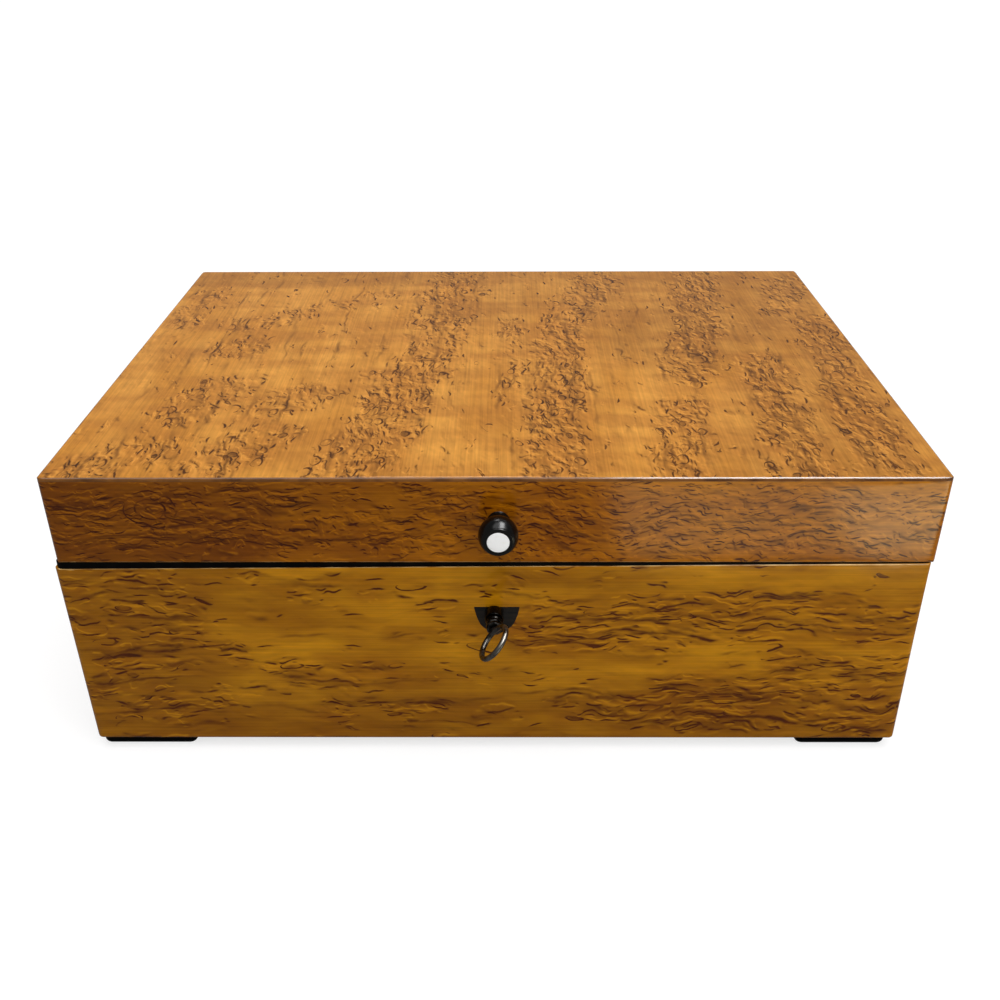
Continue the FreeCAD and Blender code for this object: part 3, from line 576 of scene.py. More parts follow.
outside = Vector((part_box("base_front_veneer")[1].x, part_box("base_back_veneer")[1].y))
FOOT_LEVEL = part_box("base_front_veneer")[0].z
BRIM_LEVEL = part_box("base_front_veneer")[1].z
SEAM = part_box("lid_front_veneer")[0].z
SEAM_REACH = 3.4 * MM
GLUED_FACE = 1.2
ROUNDED = {
    "base": ((CORNER_ROUND, FOOT_LEVEL, -1), (RUBBED_EDGE, BRIM_LEVEL, 1)),
    "lid": ((RUBBED_EDGE, SEAM, -1),),
    "rim": (),
}
# Where the sheets are ruled more closely, so that the rounded corners and edges turn in small steps.
CORNER_LINES = [(axis, sign * (outside[axis] - share * UPRIGHT_ROUND[1] * MM))
                for axis in (0, 1) for sign in (-1, 1)
                for share in (0.03, 0.08, 0.18, 0.32, 0.5, 0.75, 1.05)]
CORNER_LINES += [(2, FOOT_LEVEL + share * CORNER_ROUND * MM) for share in (0.1, 0.3, 0.55, 0.8, 1.05)]
CORNER_LINES += [(2, level + share * RUBBED_EDGE * MM) for level, way in ((BRIM_LEVEL, -1), (SEAM, 1))
                 for share in (0.1 * way, 0.3 * way, 0.6 * way, way)]

# The figure in mm. Curls of several sizes have a length, a width, a number of levels, a throw along and
# across the grain, and the size of their groups; flecks and eyes have a length and a width, eyes a share.
# The hues are light, deep and russet ground, umber and ink marks.
# Depth sets how strong the painted shade and the painted highlight on the curls are.
FRONT_FIGURE = {
    "curls": [(44, 11, 3.6, 0.3, 1.3, 22), (20, 6.5, 4, 0.3, 1.0, 14), (9, 3.6, 4.4, 0.25, 0.7, 8)],
    "fleck": (13, 4.5), "eyes": (15, 5, 0.14), "sheen": 0.12, "contrast": 1.3, "depth": 1.15,
    "hues": ("#D08E10", "#A66A06", "#8A4E08", "#652F05", "#331203"),
}
birch_front = figured_birch("figured birch, base front", ALONG_X, **FRONT_FIGURE)
birch_side = figured_birch("figured birch, sides", ALONG_Y_UPRIGHT, **FRONT_FIGURE)
# Partly wear, partly painted highlight: the bare colour is pale so that the under-lit edge shows as a light
# line.
worn_edge_and_highlight = worn_edge_with_painted_light("rubbed edge of the veneer with painted highlight", "#8A5A22", "#CFA869", 0.34, 0.15)

# Bands of figure, each from one point to another in mm, with a half width and a strength; then the
# places with a deeper tone, given in the same way, some of them painted shade.
FRONT_BANDS = [
    (-160, 84, -122, 80, 12, 0.72), (-162, 66, -125, 64, 11, 0.75), (-158, 46, -120, 52, 8, 0.7),
    (-158, 28, -122, 22, 13, 0.72), (-128, 56, -104, 50, 6, 0.8), (-86, 42, -44, 38, 9, 0.62),
    (-95, 84, -30, 82, 7, 0.42), (-70, 22, 0, 22, 9, 0.55), (-24, 79, 8, 86, 5, 0.5),
    (14, 64, 82, 68, 14, 0.92), (88, 70, 132, 72, 13, 0.85), (130, 70, 160, 66, 11, 0.8),
    (30, 24, 70, 20, 11, 0.72), (74, 26, 158, 20, 15, 0.88), (118, 45, 162, 44, 10, 0.8),
]
# Darker along the foot of the front, and darker at its left end as painted shade.
FRONT_TONES_AND_SHADE = [(-165, 8, 165, 8, 28, 0.42), (-168, 80, -168, 10, 60, 0.34)]
SIDE_BANDS = [
    (-118, 70, -60, 76, 12, 0.75), (-100, 28, -40, 22, 12, 0.8), (-30, 60, 30, 66, 13, 0.8),
    (20, 20, 80, 26, 12, 0.7), (60, 74, 118, 66, 13, 0.85), (92, 40, 118, 36, 9, 0.7),
    (-110, 112, -50, 116, 12, 0.8), (-20, 110, 60, 118, 10, 0.7), (80, 114, 118, 108, 12, 0.8),
]
BACK_BANDS = [(-a, b, -c, d, half, strength) for a, b, c, d, half, strength in FRONT_BANDS]
BASE_TONES = [(-165, 8, 165, 8, 28, 0.42)]
BASE_FINISHES = [birch_front, worn_edge_and_highlight]
uncut = eased_block(*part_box("base_front_veneer"), lambda x, y, z: y == 1, BROKEN_EDGE)
cutter = shield_prism("shield cutter", deepen=MM)
front = worked(loose("front sheet", uncut), cutter, "DIFFERENCE")
veneer_sheet("base_front_veneer", "base", BASE_FINISHES, 0, 2, FRONT_BANDS, FRONT_TONES_AND_SHADE, 0.12, front)
veneer_sheet("base_back_veneer", "base", BASE_FINISHES, 0, 2, BACK_BANDS, BASE_TONES, 0.12)
for side in ("left", "right"):
    finishes = [birch_side, worn_edge_and_highlight]
    veneer_sheet(f"base_{side}_veneer", "base", finishes, 1, 2, SIDE_BANDS, BASE_TONES, 0.15)

# Rim edging: four strips of black-stained wood, mitred at the corners and glued on the base's upper edge.
# Between the lid and the brim of the veneer they show as the black line all round the box.
EDGING_SHAPED = 2.0


def ebonised_wood(name, gloss, smooth, rough):
    """Pear wood stained black, dull or polished, with a brown cast where the stain is thin."""
    material, tree, shader = new_finish(name, Specular_IOR_Level=gloss)
    thin = blotches(tree, 5, 3.0)
    worn = span(tree, thin, 0.45, 0.75)
    wood = mixed(tree, worn, linear("#040404"), linear("#0D0B09"))
    dull = span(tree, thin, 0.3, 0.7, smooth, rough)
    dents = add(tree, "Bump", {"Strength": 0.2, "Distance": 0.05 * MM, "Height": thin})
    feed(shader, Base_Color=wood, Roughness=dull, Normal=dents)
    return material


black_wood = ebonised_wood("ebonised pear wood, dull", 0.03, 0.45, 0.6)
for side in ("front", "right", "back", "left"):
    node = f"rim_edging_{side}"
    low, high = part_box(node)
    mesh = clean_copy(node)
    ruled(mesh, RULING, CORNER_LINES)
    for corner in mesh.vertices:
        lift = base_brim(corner.co.x, corner.co.y) if corner.co.z < low.z + 0.01 * MM else 0.0
        from_face = min(outside.x - abs(corner.co.x), outside.y - abs(corner.co.y))
        if from_face < EDGING_SHAPED * MM:
            corner.co = outside_shape(corner.co, "rim")
        corner.co.z += lift
    mesh = even_shading(node, mesh)
    as_piece(f"{node}_strip", mesh, [black_wood], "base", "ebonised_wood", node)

# Feet: four flat blocks of black-stained wood, glued under the corners of the base.
# Their lower edges and upright corners are rounded off.
FOOT_ROUND = 3.2
LEFT_FEET_OUT = 1.6
for depth in ("front", "back"):
    for side in ("left", "right"):
        node = f"foot_{depth}_{side}"
        low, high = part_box(node)
        if side == "left":
            low.x -= LEFT_FEET_OUT * MM
        block = eased_block(low, high, lambda x, y, z: z != 1, FOOT_ROUND)
        as_piece(f"{node}_block", even_shading(node, block), [black_wood], "base", "ebonised_wood", node)

# Escutcheon: a small shield of ebony let into the front veneer and rubbed down flush with it.
# The keyhole goes through it: round for the shank, with a slot for the bit.
KEY_HEIGHT = next(joint for joint in frame["joints"] if joint["name"] == "key_turn")["pos_m"][2]
KEYHOLE_RADIUS = 2.15
KEYHOLE_SLOT_HALF = 1.05
KEYHOLE_SLOT_DROP = 6.25


def ebony_inlay():
    """Ebony: dark grey-brown, close-grained, a little paler than the stained wood, with a dull gloss."""
    material, tree, shader = new_finish("ebony inlay", Roughness=0.42, Specular_IOR_Level=0.15)
    space = grain_space(tree, ALONG_X)
    grain = span(tree, cloud(tree, space, 9, 0.6), 0.35, 0.7)
    wood = mixed(tree, grain, linear("#11100F"), linear("#231D17"))
    feed(shader, Base_Color=wood)
    return material


def keyhole_prism():
    """The keyhole's outline, an arc and a slot, drawn through the escutcheon."""
    low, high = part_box("keyhole_escutcheon")
    steps = 20
    opening = math.asin(KEYHOLE_SLOT_HALF / KEYHOLE_RADIUS)
    rim = [(KEYHOLE_SLOT_HALF, -KEYHOLE_SLOT_DROP), (-KEYHOLE_SLOT_HALF, -KEYHOLE_SLOT_DROP)]
    for step in range(steps + 1):
        turn = -math.pi / 2 - opening - (2 * math.pi - 2 * opening) * step / steps
        rim.append((KEYHOLE_RADIUS * math.cos(turn), KEYHOLE_RADIUS * math.sin(turn)))
    outline = [(x * MM, KEY_HEIGHT + z * MM) for x, z in rim]
    return prism("keyhole", outline, low.y - MM, high.y + MM)


shield = worked(shield_prism("shield"), keyhole_prism(), "DIFFERENCE")
as_piece("keyhole_escutcheon_shield", shield, [ebony_inlay()], "base", "ebony", "keyhole_escutcheon")

# Lock: a link-plate box lock in the front board, with its selvedge flush in the rim.
# Case, cap, drill pin, spring and bolt are filed from sheet steel.


def filed_steel(name, bright, dark):
    """Steel from the file: grey, with fine scratches about 0.4 mm apart and a brown bloom of old oil."""
    material, tree, shader = new_finish(name, Metallic=1.0)
    space = grain_space(tree, ALONG_X)
    scratch = cloud(tree, space, 18, 0.4, 2.0)
    bloom = cloud(tree, space, 6, 6, 3.0, 8.0)
    grey = span(tree, scratch, 0.3, 0.7)
    metal = mixed(tree, grey, linear(bright), linear(dark))
    oil = span(tree, bloom, 0.52, 0.74, 0.0, 0.6)
    metal = mixed(tree, oil, metal, linear("#4A3B2C"))
    dull = span(tree, bloom, 0.3, 0.7, 0.3, 0.5)
    dents = add(tree, "Bump", {"Strength": 0.25, "Distance": 0.02 * MM, "Height": scratch})
    feed(shader, Base_Color=metal, Roughness=dull, Normal=dents)
    return material


lock_steel = filed_steel("filed lock steel", "#A9A7A2", "#7F7C77")
dress(lock_steel, "lock_case", "lock_cap", "drill_pin", "bolt_spring", "lock_bolt")

# Hinges: two butt hinges of cast brass, let into the rim and screwed down, turning on brass pins.
# The screws are brass wood screws with filed slots, their heads flush with the leaves.
SCREW_HEAD = 2.0
SCREW_SHANK = 1.1
SCREW_COUNTERSINK = 0.9
SCREW_LENGTH = 9.0
SCREW_SLOT = 0.5
SCREW_SLOT_DEPTH = 0.35
SCREW_TIP = 1.76
SCREW_SEED = 7
SLOT_HALF_LENGTH = 2.4
FILE_ROUND = 0.1
LEAF_SCREW_SPACING = 13.0


def dulled_brass():
    """Old brass: yellow where it is rubbed, brown where it has tarnished."""
    material, tree, shader = new_finish("dulled brass", Metallic=1.0)
    tarnish = blotches(tree, 7, 4.0)
    brown = span(tree, tarnish, 0.36, 0.68)
    metal = mixed(tree, brown, linear("#C9A355"), linear("#7A5A2A"))
    dull = span(tree, tarnish, 0.3, 0.7, 0.24, 0.48)
    feed(shader, Base_Color=metal, Roughness=dull)
    return material


def turned(name, profile, sharp=35, steps=48):
    """A piece from the lathe: its profile, in mm from the axis and along it, swept round the z axis."""
    solid = bmesh.new()
    closed = profile[0] == profile[-1]
    rings = []
    for radius, along in profile[:-1] if closed else profile:
        turns = [2 * math.pi * step / steps for step in range(steps)] if radius > 0 else [0.0]
        rings.append([solid.verts.new((radius * MM * math.cos(t), radius * MM * math.sin(t), along * MM))
                      for t in turns])
    if closed:
        rings.append(rings[0])
    for first, second in zip(rings, rings[1:]):
        for step in range(steps):
            following = (step + 1) % steps
            corners = [first[step % len(first)], first[following % len(first)],
                       second[following % len(second)], second[step % len(second)]]
            corners = list(dict.fromkeys(corners))
            if len(corners) > 2:
                solid.faces.new(corners)
    for end in () if closed else (rings[0], rings[-1]):
        if len(end) > 1:
            solid.faces.new(end)
    bmesh.ops.recalc_face_normals(solid, faces=solid.faces)
    mesh = meshed(name, solid)
    mesh.set_sharp_from_angle(angle=math.radians(sharp))
    return mesh


def wood_screw():
    """One slotted countersunk screw, its head's top face at the origin and its shank downwards."""
    profile = [(0, 0), (SCREW_HEAD, 0), (SCREW_SHANK, -SCREW_COUNTERSINK),
               (SCREW_SHANK, SCREW_TIP - SCREW_LENGTH), (0, -SCREW_LENGTH)]
    screw = loose("wood screw", turned("wood screw", profile, steps=24))
    low = Vector((-SLOT_HALF_LENGTH, -SCREW_SLOT / 2, -SCREW_SLOT_DEPTH)) * MM
    high = Vector((SLOT_HALF_LENGTH, SCREW_SLOT / 2, SCREW_HEAD)) * MM
    slot = loose("slot", eased_block(low, high, lambda x, y, z: z == -1 and x == 0, FILE_ROUND))
    return loose("wood screw", worked(screw, slot, "DIFFERENCE"))


def screw_tree():
    """A screw on every point of a mesh, each slot left at the angle where it came tight."""
    tree = bpy.data.node_groups.new("screws in place", "GeometryNodeTree")
    for name, way, kind in (("Places", "INPUT", "Geometry"), ("Screw", "INPUT", "Object"),
                            ("Turned over", "INPUT", "Rotation"), ("Finish", "INPUT", "Material"),
                            ("Screws", "OUTPUT", "Geometry")):
        tree.interface.new_socket(name, in_out=way, socket_type="NodeSocket" + kind)
    start, end, source, angle, spin, aim, instances, real, finish = [tree.nodes.new(kind) for kind in (
        "NodeGroupInput", "NodeGroupOutput", "GeometryNodeObjectInfo", "FunctionNodeRandomValue",
        "FunctionNodeAxisAngleToRotation", "FunctionNodeRotateRotation", "GeometryNodeInstanceOnPoints",
        "GeometryNodeRealizeInstances", "GeometryNodeSetMaterial")]
    source.inputs["As Instance"].default_value = True
    angle.inputs["Max"].default_value = math.pi
    angle.inputs["Seed"].default_value = SCREW_SEED
    aim.rotation_space = "LOCAL"
    for giver, output, taker, socket in (
        (start, "Places", instances, "Points"),
        (start, "Screw", source, "Object"),
        (source, "Geometry", instances, "Instance"),
        (angle, 1, spin, "Angle"),
        (start, "Turned over", aim, "Rotation"),
        (spin, "Rotation", aim, "Rotate By"),
        (aim, "Rotation", instances, "Rotation"),
        (instances, "Instances", real, "Geometry"),
        (real, "Geometry", finish, "Geometry"),
        (start, "Finish", finish, "Material"),
        (finish, "Geometry", end, "Screws"),
    ):
        tree.links.new(giver.outputs[output], taker.inputs[socket])
    return tree


def screws_in_place(node, places, overturned, finish, body, slot):
    """Puts a screw at each place, given in metres, as one piece that stands for a CAD node."""
    mesh = bpy.data.meshes.new(node)
    mesh.from_pydata(places, [], [])
    carrier = loose(node, mesh)
    setting = carrier.modifiers.new("screws", "NODES")
    setting.node_group = SCREWS
    names = {item.name: item.identifier for item in SCREWS.interface.items_tree}
    setting[names["Screw"]] = screw_source
    setting[names["Turned over"]] = (math.pi if overturned else 0.0, 0.0, 0.0)
    setting[names["Finish"]] = finish
    as_piece(f"{node}_set", baked(carrier), [finish], body, slot, node)


def screws_at_ends(node, overturned, body):
    """Two steel screws, one at each end of a plate of the lock."""
    low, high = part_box(node)
    middle = (low.y + high.y) / 2
    face = low.z if overturned else high.z
    places = [(x, middle, face) for x in (low.x + SCREW_HEAD * MM, high.x - SCREW_HEAD * MM)]
    screws_in_place(node, places, overturned, lock_steel, body, "lock_steel")


SCREWS = screw_tree()
screw_source = wood_screw()
brass = dulled_brass()
hinge_places = []
for side in ("left", "right"):
    dress(brass, f"hinge_{side}_base_leaf", f"hinge_{side}_lid_leaf", f"hinge_{side}_pin")
    low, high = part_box(f"hinge_{side}_base_leaf")
    for index in (-1, 0, 1):
        hinge_places.append((low.x + high.x) / 2 + index * LEAF_SCREW_SPACING * MM)
for unit, overturned in (("base", False), ("lid", True)):
    node = f"hinge_{unit}_screws"
    low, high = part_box(node)
    face = low.z if overturned else high.z
    places = [(x, (low.y + high.y) / 2, face) for x in hinge_places]
    screws_in_place(node, places, overturned, brass, unit, "hinge_brass")
screws_at_ends("lock_screws", False, "base")

# Lid veneers: the same figured birch as on the base, with a broad sheet of it laid over the whole top.
# On the top the grain runs from front to back; all its upper edges are rounded.
TOP_EDGE = 1.3
TOP_FIGURE = {
    "curls": [(17, 9, 4, -1.0, 0.65, 14), (9.5, 5.2, 4, -0.85, 0.55, 9), (5, 3, 4.4, -0.62, 0.42, 6)],
    "fleck": (10, 5.2), "eyes": (9, 6, 0.36), "sheen": 0.5, "contrast": 1.15, "depth": 1.25,
    "hues": ("#DB9840", "#C68430", "#A86928", "#6E3F12", "#2E1606"),
}
LID_FIGURE = {
    "curls": [(20, 8, 4, 0.3, 0.7, 15), (10, 4.6, 4.4, 0.3, 0.55, 9), (5, 2.6, 5, 0.25, 0.4, 6)],
    "fleck": (9, 3.6), "sheen": 0.1, "contrast": 1.2, "depth": 0.9,
    "hues": ("#C87C08", "#A25C04", "#945206", "#562402", "#2A0C02"),
}
# The knot on the lid's front: its place, its length and its width in mm.
LID_KNOT = (-129, 118, 11, 8)
birch_top = figured_birch("figured birch, lid top", ALONG_Y_FLAT, **TOP_FIGURE)
birch_lid = figured_birch("figured birch, lid front", ALONG_X, **LID_FIGURE, knot=LID_KNOT)
birch_lid_side = figured_birch("figured birch, lid sides", ALONG_Y_UPRIGHT, **LID_FIGURE)
TOP_BANDS = [
    (-56, -120, -48, -93, 17, 0.95), (-46, -90, -40, -33, 17, 0.95), (-36, -30, -24, 44, 15, 0.8),
    (-30, 50, -24, 108, 19, 0.62), (-128, 2, -118, 8, 12, 0.8), (-132, -70, -118, -40, 15, 0.72),
    (-108, -115, -90, -90, 14, 0.78), (-98, -66, -78, -48, 12, 0.72), (-130, 34, -98, 56, 11, 0.62),
    (-160, 40, -152, 90, 10, 0.6), (-90, 60, -60, 84, 11, 0.5), (-160, -118, -130, -100, 14, 0.7),
    (22, -120, 27, -60, 14, 0.95), (28, -56, 32, 30, 13, 0.95), (34, 40, 56, 108, 13, 0.85),
    (8, -60, 8, 40, 8, 0.55), (70, -120, 80, -62, 12, 0.85), (86, -28, 96, 20, 13, 0.9),
    (100, 28, 110, 108, 14, 0.9), (116, -118, 120, -62, 15, 0.88), (120, -58, 122, -14, 14, 0.85),
    (150, -112, 152, -50, 14, 0.88), (154, -44, 160, 40, 12, 0.82), (146, 60, 162, 104, 12, 0.75),
]
TOP_TONES = [
    (-165, 118, 165, 118, 22, 0.25), (90, 20, 160, 110, 45, 0.3), (130, -110, 165, 20, 40, 0.24),
    (-5, 60, 20, 100, 26, 0.2), (60, 60, 80, 100, 20, 0.22),
]
LID_BANDS = [
    (-160, 114, -80, 116, 15, 0.9), (-70, 114, -20, 112, 15, 0.75), (-20, 114, 60, 114, 18, 0.92),
    (60, 114, 160, 112, 18, 1.0),
]
# Painted shade: the lid front is darker towards its left, standing in for the dark its polish reflects
# there.
LID_PAINTED_SHADE = [
    (-168, 118, -110, 122, 40, 0.62), (-110, 124, -50, 124, 36, 0.42), (-50, 118, 0, 118, 40, 0.2),
]
LID_FINISHES = [birch_lid, worn_edge_and_highlight]
veneer_sheet("lid_front_veneer", "lid", LID_FINISHES, 0, 2, LID_BANDS, LID_PAINTED_SHADE, 0.5)
veneer_sheet("lid_back_veneer", "lid", LID_FINISHES, 0, 2, LID_BANDS, [], 0.5)
for side in ("left", "right"):
    veneer_sheet(f"lid_{side}_veneer", "lid", [birch_lid_side, worn_edge_and_highlight], 1, 2, SIDE_BANDS, [], 0.3)
sheet = eased_block(*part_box("lid_top_veneer"), lambda x, y, z: z == 1, TOP_EDGE)
# Painted shade: the arris is coloured dark brown for the dark it reflects, with blotches of wear in it.
arris = worn_edge_with_painted_light("polished arris of the lid with painted shade", "#54300C", "#7E4E1A", 0.14, 0.4)
top = veneer_sheet("lid_top_veneer", "lid", [birch_top, arris], 0, 1, TOP_BANDS, TOP_TONES, 0.1, sheet)
for face in top.data.polygons:
    face.material_index = int(abs(face.normal.z) < 0.97)

# Knob: turned from black-stained wood with its tenon, which is glued into the lid's front.
# A disc of polished bone is let into its end.
KNOB_NECK = 3.8
KNOB_HEAD = 7.55
KNOB_REACH = 15.3
KNOB_FLARE = 0.6
BALL_TO_END = 5.1
BALL_TURN = 38
TENON_RADIUS = 2.6
LIP_RADIUS = 5.35
LIP_ROUND = 0.5
DISC_DEPTH = 1.2
DISC_SHOWN = 4.2
DISC_FIT = 0.05


def arc(middle, radius, start, end, steps=7):
    """Points of an arc in a profile, by its middle, radius and start and end angles in degrees."""
    turns = [math.radians(start + (end - start) * step / steps) for step in range(steps + 1)]
    return [(middle[0] + radius * math.cos(t), middle[1] + radius * math.sin(t)) for t in turns]


def aimed_forward(mesh, x, y, z):
    """Turns a lathe piece so that its axis points out of the box's front, and sets it in place."""
    mesh.transform(Matrix.Translation((x, y, z)) @ Matrix.Rotation(math.radians(90), 4, "X"))
    return mesh


def bone_with_painted_glow():
    """Bone: milky white with faint grey pores, polished, with a faint emission as a painted glow."""
    material, tree, shader = new_finish("polished bone with painted glow", Roughness=0.22, Specular_IOR_Level=0.4,
                                        Emission_Color=(1.0, 1.0, 1.0, 1.0), Emission_Strength=0.16)
    space = grain_space(tree, ALONG_X)
    pores = span(tree, cloud(tree, space, 2.4, 0.7, 3.0), 0.4, 0.72)
    bone = mixed(tree, pores, linear("#FAFAF8"), linear("#E8E8E4"))
    feed(shader, Base_Color=bone)
    return material


knob_low, knob_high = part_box("lid_knob")
knob_middle = (knob_low + knob_high) / 2
knob_at = (knob_middle.x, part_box("lid_front_veneer")[0].y, knob_middle.z)
tenon = (knob_high.y - knob_at[1]) / MM
neck_turn = math.degrees(math.acos(KNOB_NECK / KNOB_HEAD))
disc_seat = KNOB_REACH - DISC_DEPTH
knob_profile = [(0, -tenon), (TENON_RADIUS, -tenon), (TENON_RADIUS, 0.0), (KNOB_NECK + KNOB_FLARE, 0.0),
                (KNOB_NECK + 0.1, 1.0)]
knob_profile += arc((0, KNOB_REACH - BALL_TO_END), KNOB_HEAD, -neck_turn, BALL_TURN, 22)
knob_profile += arc((LIP_RADIUS, KNOB_REACH - LIP_ROUND), LIP_ROUND, 10, 90, 4)
knob_profile += [(DISC_SHOWN + DISC_FIT, KNOB_REACH), (DISC_SHOWN + DISC_FIT, disc_seat), (0, disc_seat)]
knob = aimed_forward(even_shading("knob", turned("knob", knob_profile, steps=64)), *knob_at)
black_polish = ebonised_wood("ebonised pear wood, polished", 0.2, 0.16, 0.26)
as_piece("lid_knob_turned", knob, [black_polish], "lid", "ebonised_wood", "lid_knob")
disc_profile = [(0, disc_seat), (DISC_SHOWN, disc_seat), (DISC_SHOWN, KNOB_REACH - 0.12),
                (DISC_SHOWN - 0.15, KNOB_REACH + 0.02), (0.5 * DISC_SHOWN, KNOB_REACH + 0.08),
                (0, KNOB_REACH + 0.1)]
disc = aimed_forward(even_shading("disc", turned("disc", disc_profile, steps=64)), *knob_at)
as_piece("knob_disc_inlay", disc, [bone_with_painted_glow()], "lid", "bone", "knob_disc")

# Link plate: a strip of steel let into the lid's front board, with two loops that drop into the lock.
# It is held by two steel wood screws.
dress(lock_steel, "link_plate")
screws_at_ends("link_plate_screws", True, "lid")
bpy.data.objects.remove(screw_source)

# Key: forged steel, with a bored shank and a bit, a collar with three turned rings, and a round bow.
# It stands in the lock, dark with age and with painted shade on its collar, and bright where fingers rub the
# bow.
KEY_LEAN = math.radians(50)
KEY_RADIUS = 1.9
KEY_BORE = 0.98
KEY_END = 9.5
KEY_BORE_END = 3.7
COLLAR_START = 0.6
COLLAR_END = 5.8
COLLAR_RADIUS = 3.7
RING_RADIUS = 3.1
RING_ROOT = 2.4
RING_WIDTH = 1.9
RING_COUNT = 3
NECK_RADIUS = 1.6
BOW_DISTANCE = 20.0
BOW_RADIUS = 7.1
BOW_WIRE = 1.1
BIT_REACH = 6.0
BIT_HALF = 0.8
BIT_LENGTH = 4.2
BIT_ROUND = 0.2
BIT_ROOT = 0.4
FRONT_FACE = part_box("base_front_veneer")[0].y
RINGS_AT = FRONT_FACE - COLLAR_END * MM
BOW_AT = FRONT_FACE - BOW_DISTANCE * MM


def dark_steel():
    """Old key steel: blotched, dark by the lock as painted shade, bright grey at the bow where rubbed."""
    material, tree, shader = new_finish("dark key steel", Metallic=1.0)
    patina = blotches(tree, 2.5, 4.0)
    depth = add(tree, "SeparateXYZ", {0: add(tree, "TexCoord", output="Object")}, 1)
    # Painted shade and wear: darker at the collar by the lock, brighter towards the rubbed bow.
    shaded_collar_rubbed_bow = span(tree, depth, RINGS_AT, BOW_AT, -0.25, 0.25)
    rubbed = calc(tree, "ADD", patina, shaded_collar_rubbed_bow)
    rubbed = span(tree, rubbed, 0.35, 0.85)
    metal = mixed(tree, rubbed, linear("#0C0B0A"), linear("#5E5B57"))
    dull = span(tree, patina, 0.3, 0.7, 0.2, 0.4)
    feed(shader, Base_Color=metal, Roughness=dull)
    return material


def bow_ring(steps=72, round_steps=16):
    """The bow: a ring of round wire in the plane of the shank and the bit."""
    solid = bmesh.new()
    rows = []
    for step in range(steps):
        turn = 2 * math.pi * step / steps
        row = []
        for around in range(round_steps):
            tilt = 2 * math.pi * around / round_steps
            reach = (BOW_RADIUS + BOW_WIRE * math.cos(tilt)) * MM
            lift = BOW_WIRE * math.sin(tilt) * MM
            row.append(solid.verts.new((reach * math.cos(turn), reach * math.sin(turn), lift)))
        rows.append(row)
    for row, following in zip(rows, rows[1:] + rows[:1]):
        for around in range(round_steps):
            beside = (around + 1) % round_steps
            solid.faces.new((row[around], following[around], following[beside], row[beside]))
    bmesh.ops.recalc_face_normals(solid, faces=solid.faces)
    return meshed("bow", solid)


shank_profile = [(KEY_BORE, -KEY_END), (KEY_RADIUS, -KEY_END), (KEY_RADIUS, COLLAR_START),
                 (COLLAR_RADIUS - 0.3, COLLAR_START), (COLLAR_RADIUS, COLLAR_START + 0.3),
                 (COLLAR_RADIUS, COLLAR_END - 0.4), (COLLAR_RADIUS - 0.3, COLLAR_END),
                 (RING_ROOT, COLLAR_END)]
for ring in range(RING_COUNT):
    low_end = COLLAR_END + ring * RING_WIDTH
    bulge = [180 * step / 6 for step in range(1, 6)]
    shank_profile += [(RING_ROOT + (RING_RADIUS - RING_ROOT) * math.sin(math.radians(turn)),
                       low_end + RING_WIDTH * (0.5 - 0.5 * math.cos(math.radians(turn)))) for turn in bulge]
    shank_profile.append((RING_ROOT, low_end + RING_WIDTH))
rings_end = COLLAR_END + RING_COUNT * RING_WIDTH
shank_profile += [(NECK_RADIUS, rings_end + 0.2), (NECK_RADIUS, BOW_DISTANCE - BOW_RADIUS),
                  (0, BOW_DISTANCE - BOW_RADIUS), (0, -KEY_BORE_END), (KEY_BORE, -KEY_BORE_END),
                  (KEY_BORE, -KEY_END)]
shank = turned("key", shank_profile, steps=40)
aimed_forward(shank, 0.0, FRONT_FACE, KEY_HEIGHT)
lean = Vector((math.cos(KEY_LEAN), 0.0, math.sin(KEY_LEAN)))
turn = Matrix((lean, (0, 1, 0), lean.cross((0, 1, 0)))).transposed().to_4x4()
bow = bow_ring()
bow.transform(Matrix.Translation((0.0, FRONT_FACE - BOW_DISTANCE * MM, KEY_HEIGHT)) @ turn)
bit_low = Vector((KEY_RADIUS - BIT_ROOT, KEY_END - BIT_LENGTH, -BIT_HALF)) * MM
bit_high = Vector((BIT_REACH, KEY_END, BIT_HALF)) * MM
bit = eased_block(bit_low, bit_high, lambda x, y, z: x == 1, BIT_ROUND)
bit.transform(Matrix.Translation((0.0, FRONT_FACE, KEY_HEIGHT)) @ turn)
key = shank
for name, mesh in (("key bow", bow), ("key bit", bit)):
    key = worked(loose("key shank", key), loose(name, mesh), "UNION")
as_piece("key_forged", even_shading("key", key), [dark_steel()], "key", "key_steel", "key")

# Stage: a plain pale floor, soft light from above and from the right, and panels that the polish reflects.
# The camera stands where the photograph was taken, looking down at the front.
FLOOR_SIDE = 12.0


def pale_floor():
    """A sweep of paper: white to the camera, greyer to the polish, with the box's soft shadow on it."""
    material = bpy.data.materials.new("white paper floor")
    material.use_nodes = True
    tree = material.node_tree
    tree.nodes.clear()
    seen = add(tree, "LightPath", output="Is Camera Ray")
    paper = add(tree, "BsdfDiffuse", {"Color": linear("#9C9C9C")})
    lift = add(tree, "Emission", {"Color": (1.0, 1.0, 1.0, 1.0), "Strength": 0.72})
    bright = add(tree, "AddShader", {0: paper, 1: lift})
    shown = add(tree, "MixShader", {0: seen, 1: paper, 2: bright})
    end = tree.nodes.new("ShaderNodeOutputMaterial")
    tree.links.new(shown, end.inputs["Surface"])
    return material


floor_mesh = bpy.data.meshes.new("floor")
half = FLOOR_SIDE / 2
floor_corners = [(-half, -half, 0), (half, -half, 0), (half, half, 0), (-half, half, 0)]
floor_mesh.from_pydata(floor_corners, [], [(0, 1, 2, 3)])
floor_mesh.materials.append(pale_floor())
loose("floor", floor_mesh)

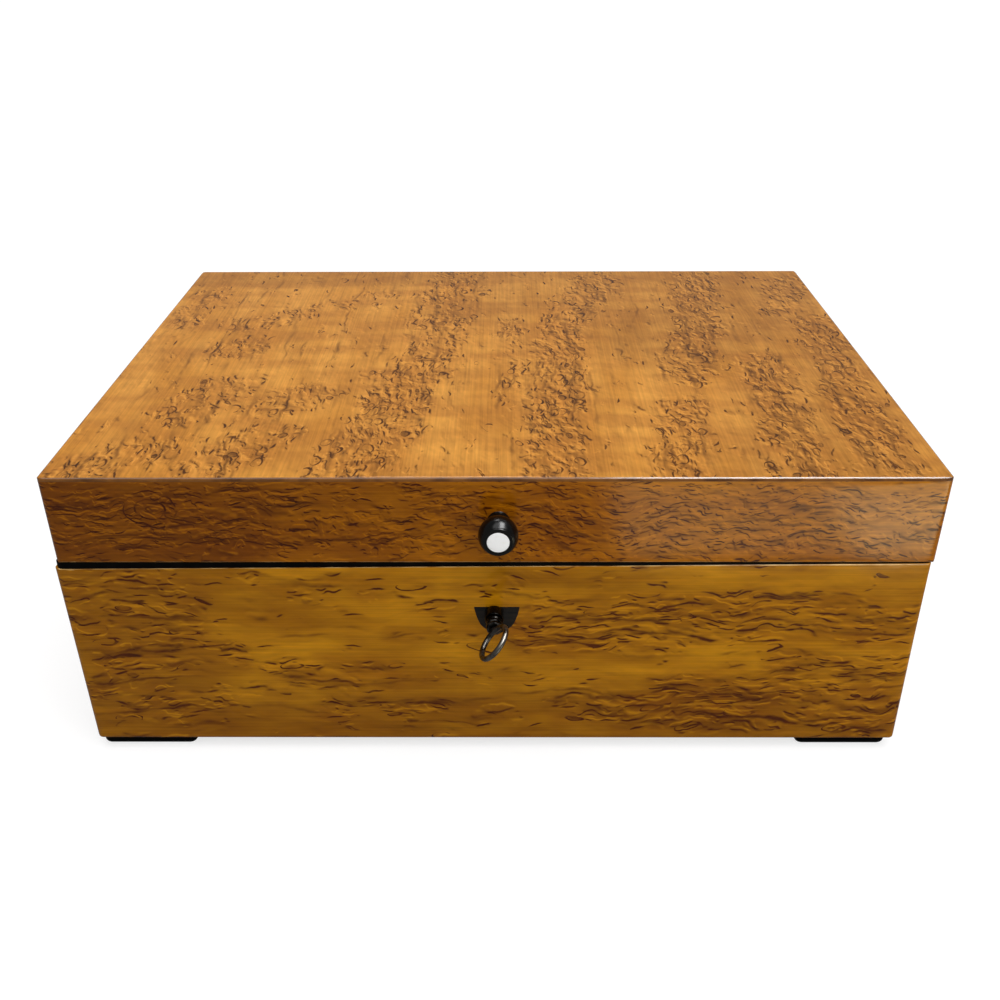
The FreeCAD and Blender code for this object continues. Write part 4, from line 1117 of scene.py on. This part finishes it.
scene = bpy.context.scene
world = bpy.data.worlds.new("studio")
scene.world = world
world.use_nodes = True
sky = world.node_tree
sky.nodes.clear()
seen = add(sky, "LightPath", output="Is Camera Ray")
glossy = span(sky, seen.node.outputs["Is Glossy Ray"], 0.0, 1.0, 0.15, 0.3)
level = calc(sky, "MAXIMUM", glossy, seen)
dome = add(sky, "Background", {"Color": (1.0, 1.0, 1.0, 1.0), "Strength": level})
end = sky.nodes.new("ShaderNodeOutputWorld")
sky.links.new(dome, end.inputs["Surface"])


def light(name, kind, strength, place, target, **settings):
    """A lamp at a place, aimed at a target, both in metres."""
    lamp = bpy.data.lights.new(name, kind)
    lamp.energy = strength
    for setting, value in settings.items():
        setattr(lamp, setting, value)
    stand = bpy.data.objects.new(name, lamp)
    stand.location = place
    stand.rotation_euler = (Vector(target) - Vector(place)).to_track_quat("-Z", "Y").to_euler()
    scene.collection.objects.link(stand)
    return stand


def panel(name, radiance, place, target, wide, deep, colour):
    """A soft panel that lights only reflections, by how bright it looks in them."""
    strength = radiance * math.pi * wide * deep
    stand = light(name, "AREA", strength, place, target, shape="RECTANGLE", size=wide, size_y=deep,
                  color=colour)
    stand.visible_diffuse = False


WHITE = (1.0, 1.0, 1.0)
CREAM = (1.0, 1.0, 0.7)
AMBER = (1.0, 0.86, 0.5)
light("overhead sweep", "SUN", 3.0, (0.12, -0.2, 1.0), (0.0, 0.0, 0.1), angle=math.radians(70))
window = light("low window", "AREA", 1.2, (0.55, -0.75, 0.3), (0.05, -0.12, 0.1), shape="DISK", size=0.25)
window.visible_glossy = False
panel("front card", 3.6, (0.25, -0.335, 0.002), (0.25, -0.335, 1.0), 0.36, 0.12, CREAM)
panel("right card", 7.0, (0.285, -0.312, 0.003), (0.285, -0.312, 1.0), 0.17, 0.08, AMBER)
panel("overhead softbox", 22.0, (0.52, -0.3, 1.6), (0.52, -0.3, 0.0), 0.6, 1.7, WHITE)
panel("back lamp", 10.0, (-0.08, 0.68, 1.12), (0.0, -0.13, 0.11), 0.3, 0.16, WHITE)

FOCAL_LENGTH = 38.05
CAMERA_AT = (0.0047, -0.4682, 0.3185)
PITCH, YAW, ROLL = math.radians(29.64), math.radians(0.38), math.radians(-0.22)
SENSOR_WIDTH = 36.0
camera_data = bpy.data.cameras.new("camera")
camera_data.lens = FOCAL_LENGTH
camera_data.sensor_width = SENSOR_WIDTH
camera_data.clip_start = 0.01
camera = bpy.data.objects.new("camera", camera_data)
scene.collection.objects.link(camera)
tilt = Matrix.Rotation(math.pi / 2 - PITCH, 4, "X")
aim = Matrix.Rotation(YAW, 4, "Z") @ tilt @ Matrix.Rotation(ROLL, 4, "Z")
camera.matrix_world = Matrix.Translation(CAMERA_AT) @ aim
scene.camera = camera
scene.view_settings.view_transform = "Standard"
